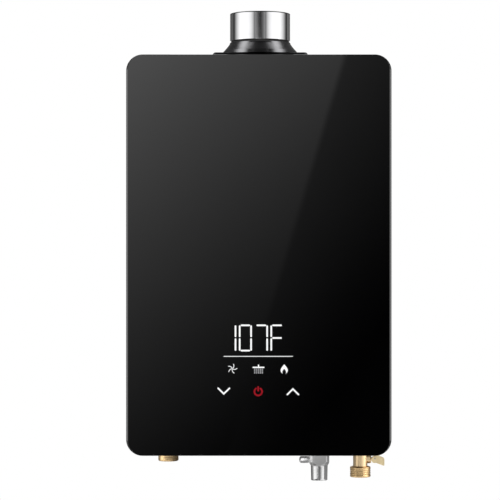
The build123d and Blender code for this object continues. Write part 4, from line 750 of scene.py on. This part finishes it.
white_light = glow("white_light", (0.95, 0.96, 0.97, 1), (1, 1, 1, 1))
digits = [segment(x, top, x, low) for x in (ONE_X, *ZERO_X, SEVEN_X[1], F_X[0])
          for top, low in (UPPER_LEG, LOWER_LEG)]
digits += [segment(left + BAR_INSET, z, right - BAR_INSET, z)
           for (left, right), z in ((ZERO_X, TOP_BAR), (ZERO_X, LOW_BAR), (SEVEN_X, TOP_BAR),
                                    (F_X, TOP_BAR), (F_X, MIDDLE_BAR))]
lights("lit_digits", white_light, digits)

rule_light = glow("rule_light", (0.80, 0.81, 0.82, 1), (0.92, 0.93, 0.94, 1))
lights("lit_rule", rule_light, [segment(RULE_LEFT, RULE_Z, RULE_RIGHT, RULE_Z, RULE_WIDTH)])

blade_t = np.linspace(0, 1, 9)
reach = BLADE_ROOT + (BLADE_REACH - BLADE_ROOT) * blade_t
tips = np.radians(FIRST_BLADE + 360 / BLADES * np.arange(BLADES))
lights("lit_fan_mark", white_light, [
    stroke(around(FAN_X, FAN_Z, reach, tip - BLADE_SWEEP * (1 - blade_t)), BLADE_WIDTH) for tip in tips])

lights("lit_shower_mark", white_light, [
    segment(SHOWER_X - SHOWER_HALF, SHOWER_Z, SHOWER_X + SHOWER_HALF, SHOWER_Z, SHOWER_WIDTH),
    segment(SHOWER_X, SHOWER_Z + STEM_TOP, SHOWER_X, SHOWER_Z + STEM_LOW, STEM_WIDTH)])
spray_light = glow("spray_light", (0.24, 0.24, 0.25, 1), (0.34, 0.34, 0.35, 1))
lights("lit_spray", spray_light, [segment(x, z, x, z - DROP_LENGTH, DROP_WIDTH)
                                  for x in SHOWER_X + np.linspace(-SPRAY_HALF, SPRAY_HALF, 5)
                                  for z in SHOWER_Z - np.array(SPRAY_DROPS)])

# The flame's half width is a sine of its height, drawn in towards the tip; a smaller sine is cut out of
# its foot, and the outline runs up one side and down the other.
flame_t = np.linspace(0, 1, 25)
flame_out = np.stack([4.8 * np.sin(np.pi * flame_t) ** 0.8 * (1 - 0.55 * flame_t) * 1.28,
                      -0.5 + 12.9 * flame_t], -1)
flame_in = np.stack([2.4 * np.sin(np.pi * (0.28 + 0.72 * flame_t)), 0.2 + 6.6 * flame_t], -1)
half = np.vstack([flame_in[::-1], flame_out[3:]])
flame = np.vstack([half, half[-2:0:-1] * (-1, 1)]) + (FLAME_X, FLAME_FOOT)
lights("lit_flame", white_light, [flame])

lights("touch_arrows", white_light, [
    stroke([(x - wide, z + tall), (x, z), (x + wide, z + tall)], ARROW_WIDTH)
    for x, z, wide, tall in ((-44.3, -175.3, 7.1, ARROW_RISE), (43.1, -169.3, 7.0, -ARROW_RISE))])

red_light = glow("red_light", (0.26, 0.002, 0.008, 1), (0.33, 0.004, 0.012, 1))
ring_turn = np.linspace(math.radians(125), math.radians(415), 41)
lights("touch_power", red_light, [
    stroke(around(POWER_X, POWER_Z, POWER_R, ring_turn), POWER_WIDTH),
    segment(POWER_X, POWER_Z + POWER_TOP, POWER_X, POWER_Z + POWER_LOW, POWER_WIDTH)])


# Studio: a white room with a tall softbox on each side, dark flags that give metal its edges, and a
# graded card behind the camera that the glass mirrors. None of it belongs to the heater.
ROOM_LIGHT = 0.45
ROOM_LOW, ROOM_TOP = -1.4, 2.0
CAMERA, LENS, SENSOR = (-0.01117, -2.635, 0.0065), 142.35, 36.0
MIRROR_Y, MIRROR_HALF, MIRROR_LOW, MIRROR_TOP = -3.2, 0.75, -0.585, 0.563
BEHIND_MIRROR = MIRROR_Y - 0.01
BROW_WIDE, SKIRT_HALF, SKIRT_GLOW = 3.0, 1.2, 1.05
LEFT_GREY, RIGHT_GREY = (0.128, -0.173, 0.203), (0.101, -0.200, 0.138)
GREY_EDGE, EDGE_BLUR = (-0.0933, 1.0, -0.294), 0.012
SCREEN_OFFSET, SCREEN_SCALE, SCREEN_POWER = 0.055, 1.055, 2.4
GLASS_MIRRORS, MIRROR_TRIM = 0.04, -0.02
BOX_X, BOX_FRONT, BOX_BACK, BOX_TOP = 1.1, -3.1, 0.65, 0.9
LOFT_X, LOFT_FRONT, LOFT_BACK, LOFT_TOP = 1.095, -2.3, 0.74, 3.4
LOFT_FRONT_LOW, LOFT_BACK_LOW = 0.95, 0.5
FLUE_PLACE = (0.002, -0.086, 0.27)
STRIP_X, STRIP_GLOW = 1.09, 3.2
FLAG_Y, FLAG_START, FLAG_END, FLAG_TOP = 0.75, 0.15, 3.2, 2.6
LAMP_SIZE, LAMP_POWER = (1.2, 1.8), 22
LAMP_PLACE, LAMP_TILT, LAMP_SWING = (1.5, -1.4, 0.6), math.radians(75), math.radians(50)
FLOOR_LEVEL, FLOOR_REACH, FLOOR_FADE, FLOOR_ROUND = -0.75, 2.6, 1.0, 64
FLOOR_WHITE, FLOOR_ROUGHNESS = (0.9, 0.9, 0.9, 1), 0.9


def worked(tree, operation, *given):
    """Math node of sockets and numbers."""
    step = tree.nodes.new("ShaderNodeMath")
    step.operation = operation
    for place, value in enumerate(given):
        if isinstance(value, (int, float)):
            step.inputs[place].default_value = value
        else:
            tree.links.new(value, step.inputs[place])
    return step.outputs[0]


def sum_of(tree, *terms):
    """Node chain for a sum of (socket or number) times number."""
    total = 0.0
    for value, factor in terms:
        total = worked(tree, "MULTIPLY_ADD", value, factor, total)
    return total


def ramp(tree, socket, start, end, low, high):
    """Node for a smooth rise from low at start to high at end."""
    step = tree.nodes.new("ShaderNodeMapRange")
    step.interpolation_type = "SMOOTHSTEP"
    for place, value in zip(("From Min", "From Max", "To Min", "To Max"), (start, end, low, high)):
        step.inputs[place].default_value = value
    tree.links.new(socket, step.inputs["Value"])
    return step.outputs[0]


def clear_back(tree, shader):
    """Node that shows a shader on a face's front and nothing on its back."""
    facing, nothing = tree.nodes.new("ShaderNodeNewGeometry"), tree.nodes.new("ShaderNodeBsdfTransparent")
    shown = tree.nodes.new("ShaderNodeMixShader")
    tree.links.new(facing.outputs["Backfacing"], shown.inputs[0])
    tree.links.new(shader.outputs[0], shown.inputs[1])
    tree.links.new(nothing.outputs[0], shown.inputs[2])
    return shown


def rectangle(x, y, z):
    """Corners of a flat rectangle: one place on the axis that it is square to, and a start and an end on
    the other two. It faces +X, -Y or +Z, and the other way if a start and its end change places."""
    corners, turns = [], [(0, 1, 1, 0), (0, 0, 1, 1)]
    for side in (x, y, z):
        corners.append(np.take(side, turns.pop(0)) if np.ndim(side) else np.full(4, side))
    return np.stack(corners, -1).tolist()


def card(name, corners, graded, back="lit"):
    """A flat studio card through four corners in metres, seen only in reflections. graded(tree, place)
    gives the node socket for its glow. A card whose back is clear shows only from the side that it faces."""
    mesh = bpy.data.meshes.new(name)
    mesh.from_pydata(corners, [], [(0, 1, 2, 3)])
    material, tree = blank(name)
    tree.nodes.remove(tree.nodes["Principled BSDF"])
    shine = tree.nodes.new("ShaderNodeEmission")
    place = tree.nodes.new("ShaderNodeTexCoord")
    axes = tree.nodes.new("ShaderNodeSeparateXYZ")
    tree.links.new(place.outputs["Object"], axes.inputs[0])
    tree.links.new(graded(tree, axes.outputs), shine.inputs["Strength"])
    shown = clear_back(tree, shine) if back == "clear" else shine
    tree.links.new(shown.outputs[0], tree.nodes["Material Output"].inputs["Surface"])
    mesh.materials.append(material)
    made = bpy.data.objects.new(name, mesh)
    scene.collection.objects.link(made)
    made.visible_camera = made.visible_diffuse = made.visible_shadow = False
    made.visible_transmission = made.visible_volume_scatter = False
    made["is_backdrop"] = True


def even_glow(amount):
    """Glow that is the same all over a card."""
    return lambda tree, axes: sum_of(tree, (1.0, amount))


def mirror_glow(tree, axes):
    """Glow of the card behind the camera: two even slopes of grey that meet at a slanting edge, turned from
    screen grey into light, ((g + 0.055) / 1.055) ^ 2.4, and divided by the share that the glass mirrors."""
    slopes = [sum_of(tree, (1.0, middle), (axes["X"], across), (axes["Z"], up))
              for middle, across, up in (LEFT_GREY, RIGHT_GREY, GREY_EDGE)]
    mixed = tree.nodes.new("ShaderNodeMix")
    tree.links.new(ramp(tree, slopes[2], -EDGE_BLUR, EDGE_BLUR, 0.0, 1.0), mixed.inputs[0])
    tree.links.new(slopes[0], mixed.inputs[2])
    tree.links.new(slopes[1], mixed.inputs[3])
    black = SCREEN_OFFSET / SCREEN_SCALE
    lifted = worked(tree, "MAXIMUM", sum_of(tree, (mixed.outputs[0], 1 / SCREEN_SCALE), (1.0, black)), black)
    return sum_of(tree, (worked(tree, "POWER", lifted, SCREEN_POWER), 1 / GLASS_MIRRORS), (1.0, MIRROR_TRIM))


def softbox_glow(tree, axes):
    """Glow of a side softbox: it rises towards the heater, falls off again behind it and is weaker below."""
    along = worked(tree, "MULTIPLY", ramp(tree, axes["Y"], -3.4, -0.7, 0.1, 1.45),
                   ramp(tree, axes["Y"], -0.35, 0.6, 1.0, 0.0))
    return worked(tree, "MULTIPLY", along, ramp(tree, axes["Z"], -0.5, -0.3, 0.9, 1.0))


def loft_glow(tree, axes):
    """Glow of the card above a softbox: a hump over the distance from the flue less the way back along Y,
    which is even for all light that the flue mirrors at one bearing."""
    from_flue = tree.nodes.new("ShaderNodeVectorMath")
    from_flue.operation = "DISTANCE"
    from_flue.inputs[1].default_value = FLUE_PLACE
    tree.links.new(tree.nodes["Texture Coordinate"].outputs["Object"], from_flue.inputs[0])
    bearing = sum_of(tree, (from_flue.outputs["Value"], 1.0), (axes["Y"], -1.0), (1.0, FLUE_PLACE[1]))
    return worked(tree, "MULTIPLY", ramp(tree, bearing, 1.05, 1.75, 0.05, 1.0),
                  ramp(tree, bearing, 2.0, 3.3, 4.6, 0.1))


def roof_glow(tree, axes):
    """Glow of the card over the flange: it rises with the square of the way out from the middle."""
    return ramp(tree, worked(tree, "MULTIPLY", axes["X"], axes["X"]), 0.08, 0.52, 0.12, 2.4)


def gas_glow(tree, axes):
    """Glow of the flag beside the gas stub: it falls off towards the wall."""
    return ramp(tree, axes["Y"], -0.13, -0.06, 0.5, 0.06)


scene = bpy.context.scene
scene.view_settings.view_transform = "Standard"
world = bpy.data.worlds.new("white_room")
scene.world = world
world.use_nodes = True
tree = world.node_tree
ray = tree.nodes.new("ShaderNodeLightPath").outputs
seen = sum_of(tree, *((ray["Is " + kind + " Ray"], 1.0) for kind in ("Camera", "Glossy", "Transmission")))
level = tree.nodes.new("ShaderNodeMapRange")
level.inputs["To Min"].default_value = ROOM_LIGHT
tree.links.new(seen, level.inputs["Value"])
tree.nodes["Background"].inputs["Color"].default_value = (1, 1, 1, 1)
tree.links.new(level.outputs[0], tree.nodes["Background"].inputs["Strength"])

card("mirror_card", rectangle((-MIRROR_HALF, MIRROR_HALF), MIRROR_Y, (MIRROR_LOW, MIRROR_TOP)), mirror_glow)
for side, sign in (("left", -1), ("right", 1)):
    card(side + "_brow", rectangle((0, sign * BROW_WIDE), BEHIND_MIRROR, (MIRROR_TOP, ROOM_TOP)),
         lambda tree, axes: ramp(tree, axes["X"], 0.0, sign * 1.4, 0.045, 0.38))
card("skirt_card", rectangle((-SKIRT_HALF, SKIRT_HALF), BEHIND_MIRROR, (ROOM_LOW, MIRROR_LOW)),
     even_glow(SKIRT_GLOW))
for side, sign, flag_glow in (("left", -1, 0.13), ("right", 1, 0.17)):
    card(side + "_softbox", rectangle(sign * BOX_X, (BOX_FRONT, BOX_BACK), (ROOM_LOW, BOX_TOP)), softbox_glow)
    loft = [(LOFT_FRONT, LOFT_FRONT_LOW), (LOFT_BACK, LOFT_BACK_LOW), (LOFT_BACK, LOFT_TOP),
            (LOFT_FRONT, LOFT_TOP)]
    card(side + "_loft", [(sign * LOFT_X, y, z) for y, z in loft], loft_glow)
    card(side + "_strip", rectangle(sign * STRIP_X, (-0.45, -0.12), (-0.36, 0.36)), even_glow(STRIP_GLOW))
    card(side + "_flag", rectangle((sign * FLAG_START, sign * FLAG_END), FLAG_Y, (ROOM_LOW, FLAG_TOP)),
         even_glow(flag_glow))
card("top_flag", rectangle((-1.09, 1.09), (-3.4, -0.5), ROOM_TOP), even_glow(0.08))
card("flange_flag", rectangle((-0.7, 0.7), (-0.5, 0.5), ROOM_TOP), roof_glow)

# Small cards close to the fittings, each with its place, its glow and its back.
for name, x, y, z, graded, back in (
        ("gas_flag", -0.093, (0.02, -0.133), (-0.33, -0.255), gas_glow, "clear"),
        ("gas_front_flag", (-0.156, -0.093), -0.13, (-0.29, -0.258), even_glow(0.42), "lit"),
        ("stub_flag", (0.060, 0.098), -0.133, (-0.32, -0.2765), even_glow(0.22), "lit"),
        ("body_flag", 0.102, (-0.078, -0.046), (-0.296, -0.25), even_glow(0.3), "lit"),
        ("stub_side_card", -0.088, (-0.075, 0.02), (-0.33, -0.255), even_glow(0.4), "clear"),
        ("plug_flag", (0.045, 0.066), (-0.12, -0.02), -0.30, even_glow(0.05), "lit"),
        ("plug_card", (0.0655, 0.050), -0.0745, (-0.268, -0.2535), even_glow(1.5), "clear"),
        ("plug_end_card", (0.0585, 0.0550), -0.074, (-0.271, -0.2535), even_glow(3.0), "clear")):
    card(name, rectangle(x, y, z), graded, back)

for name, sign in (("left_lamp", -1), ("right_lamp", 1)):
    lamp = bpy.data.lights.new(name, "AREA")
    lamp.shape = "RECTANGLE"
    lamp.size, lamp.size_y = LAMP_SIZE
    lamp.energy = LAMP_POWER
    made = bpy.data.objects.new(name, lamp)
    made.location = (sign * LAMP_PLACE[0], *LAMP_PLACE[1:])
    made.rotation_euler = (LAMP_TILT, 0, sign * LAMP_SWING)
    made.visible_glossy = False
    scene.collection.objects.link(made)

floor_mesh = bpy.data.meshes.new("floor")
rim = np.arange(FLOOR_ROUND) * 2 * np.pi / FLOOR_ROUND
floor_points = np.stack([FLOOR_REACH * np.cos(rim), FLOOR_REACH * np.sin(rim),
                         np.full(FLOOR_ROUND, FLOOR_LEVEL)], -1)
floor_mesh.from_pydata(floor_points.tolist(), [], [list(range(FLOOR_ROUND))])
floor_paper, tree = blank("floor_paper")
shader = tree.nodes["Principled BSDF"]
shader.inputs["Base Color"].default_value = FLOOR_WHITE
shader.inputs["Roughness"].default_value = FLOOR_ROUGHNESS
glowing = tree.nodes.new("ShaderNodeEmission")
blend = tree.nodes.new("ShaderNodeMixShader")
place = tree.nodes.new("ShaderNodeTexCoord")
from_middle = tree.nodes.new("ShaderNodeVectorMath")
from_middle.operation = "LENGTH"
link = tree.links.new
link(place.outputs["Object"], from_middle.inputs[0])
link(ramp(tree, from_middle.outputs["Value"], FLOOR_FADE, FLOOR_REACH, 0.0, 1.0), blend.inputs[0])
link(shader.outputs[0], blend.inputs[1])
link(glowing.outputs[0], blend.inputs[2])
link(clear_back(tree, blend).outputs[0], tree.nodes["Material Output"].inputs["Surface"])
floor_mesh.materials.append(floor_paper)
floor = bpy.data.objects.new("floor", floor_mesh)
scene.collection.objects.link(floor)
floor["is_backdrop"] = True

camera_data = bpy.data.cameras.new("camera")
camera_data.lens = LENS
camera_data.sensor_width = SENSOR
camera = bpy.data.objects.new("camera", camera_data)
camera.location = CAMERA
camera.rotation_euler = (math.pi / 2, 0, 0)
scene.collection.objects.link(camera)
scene.camera = camera

low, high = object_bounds()
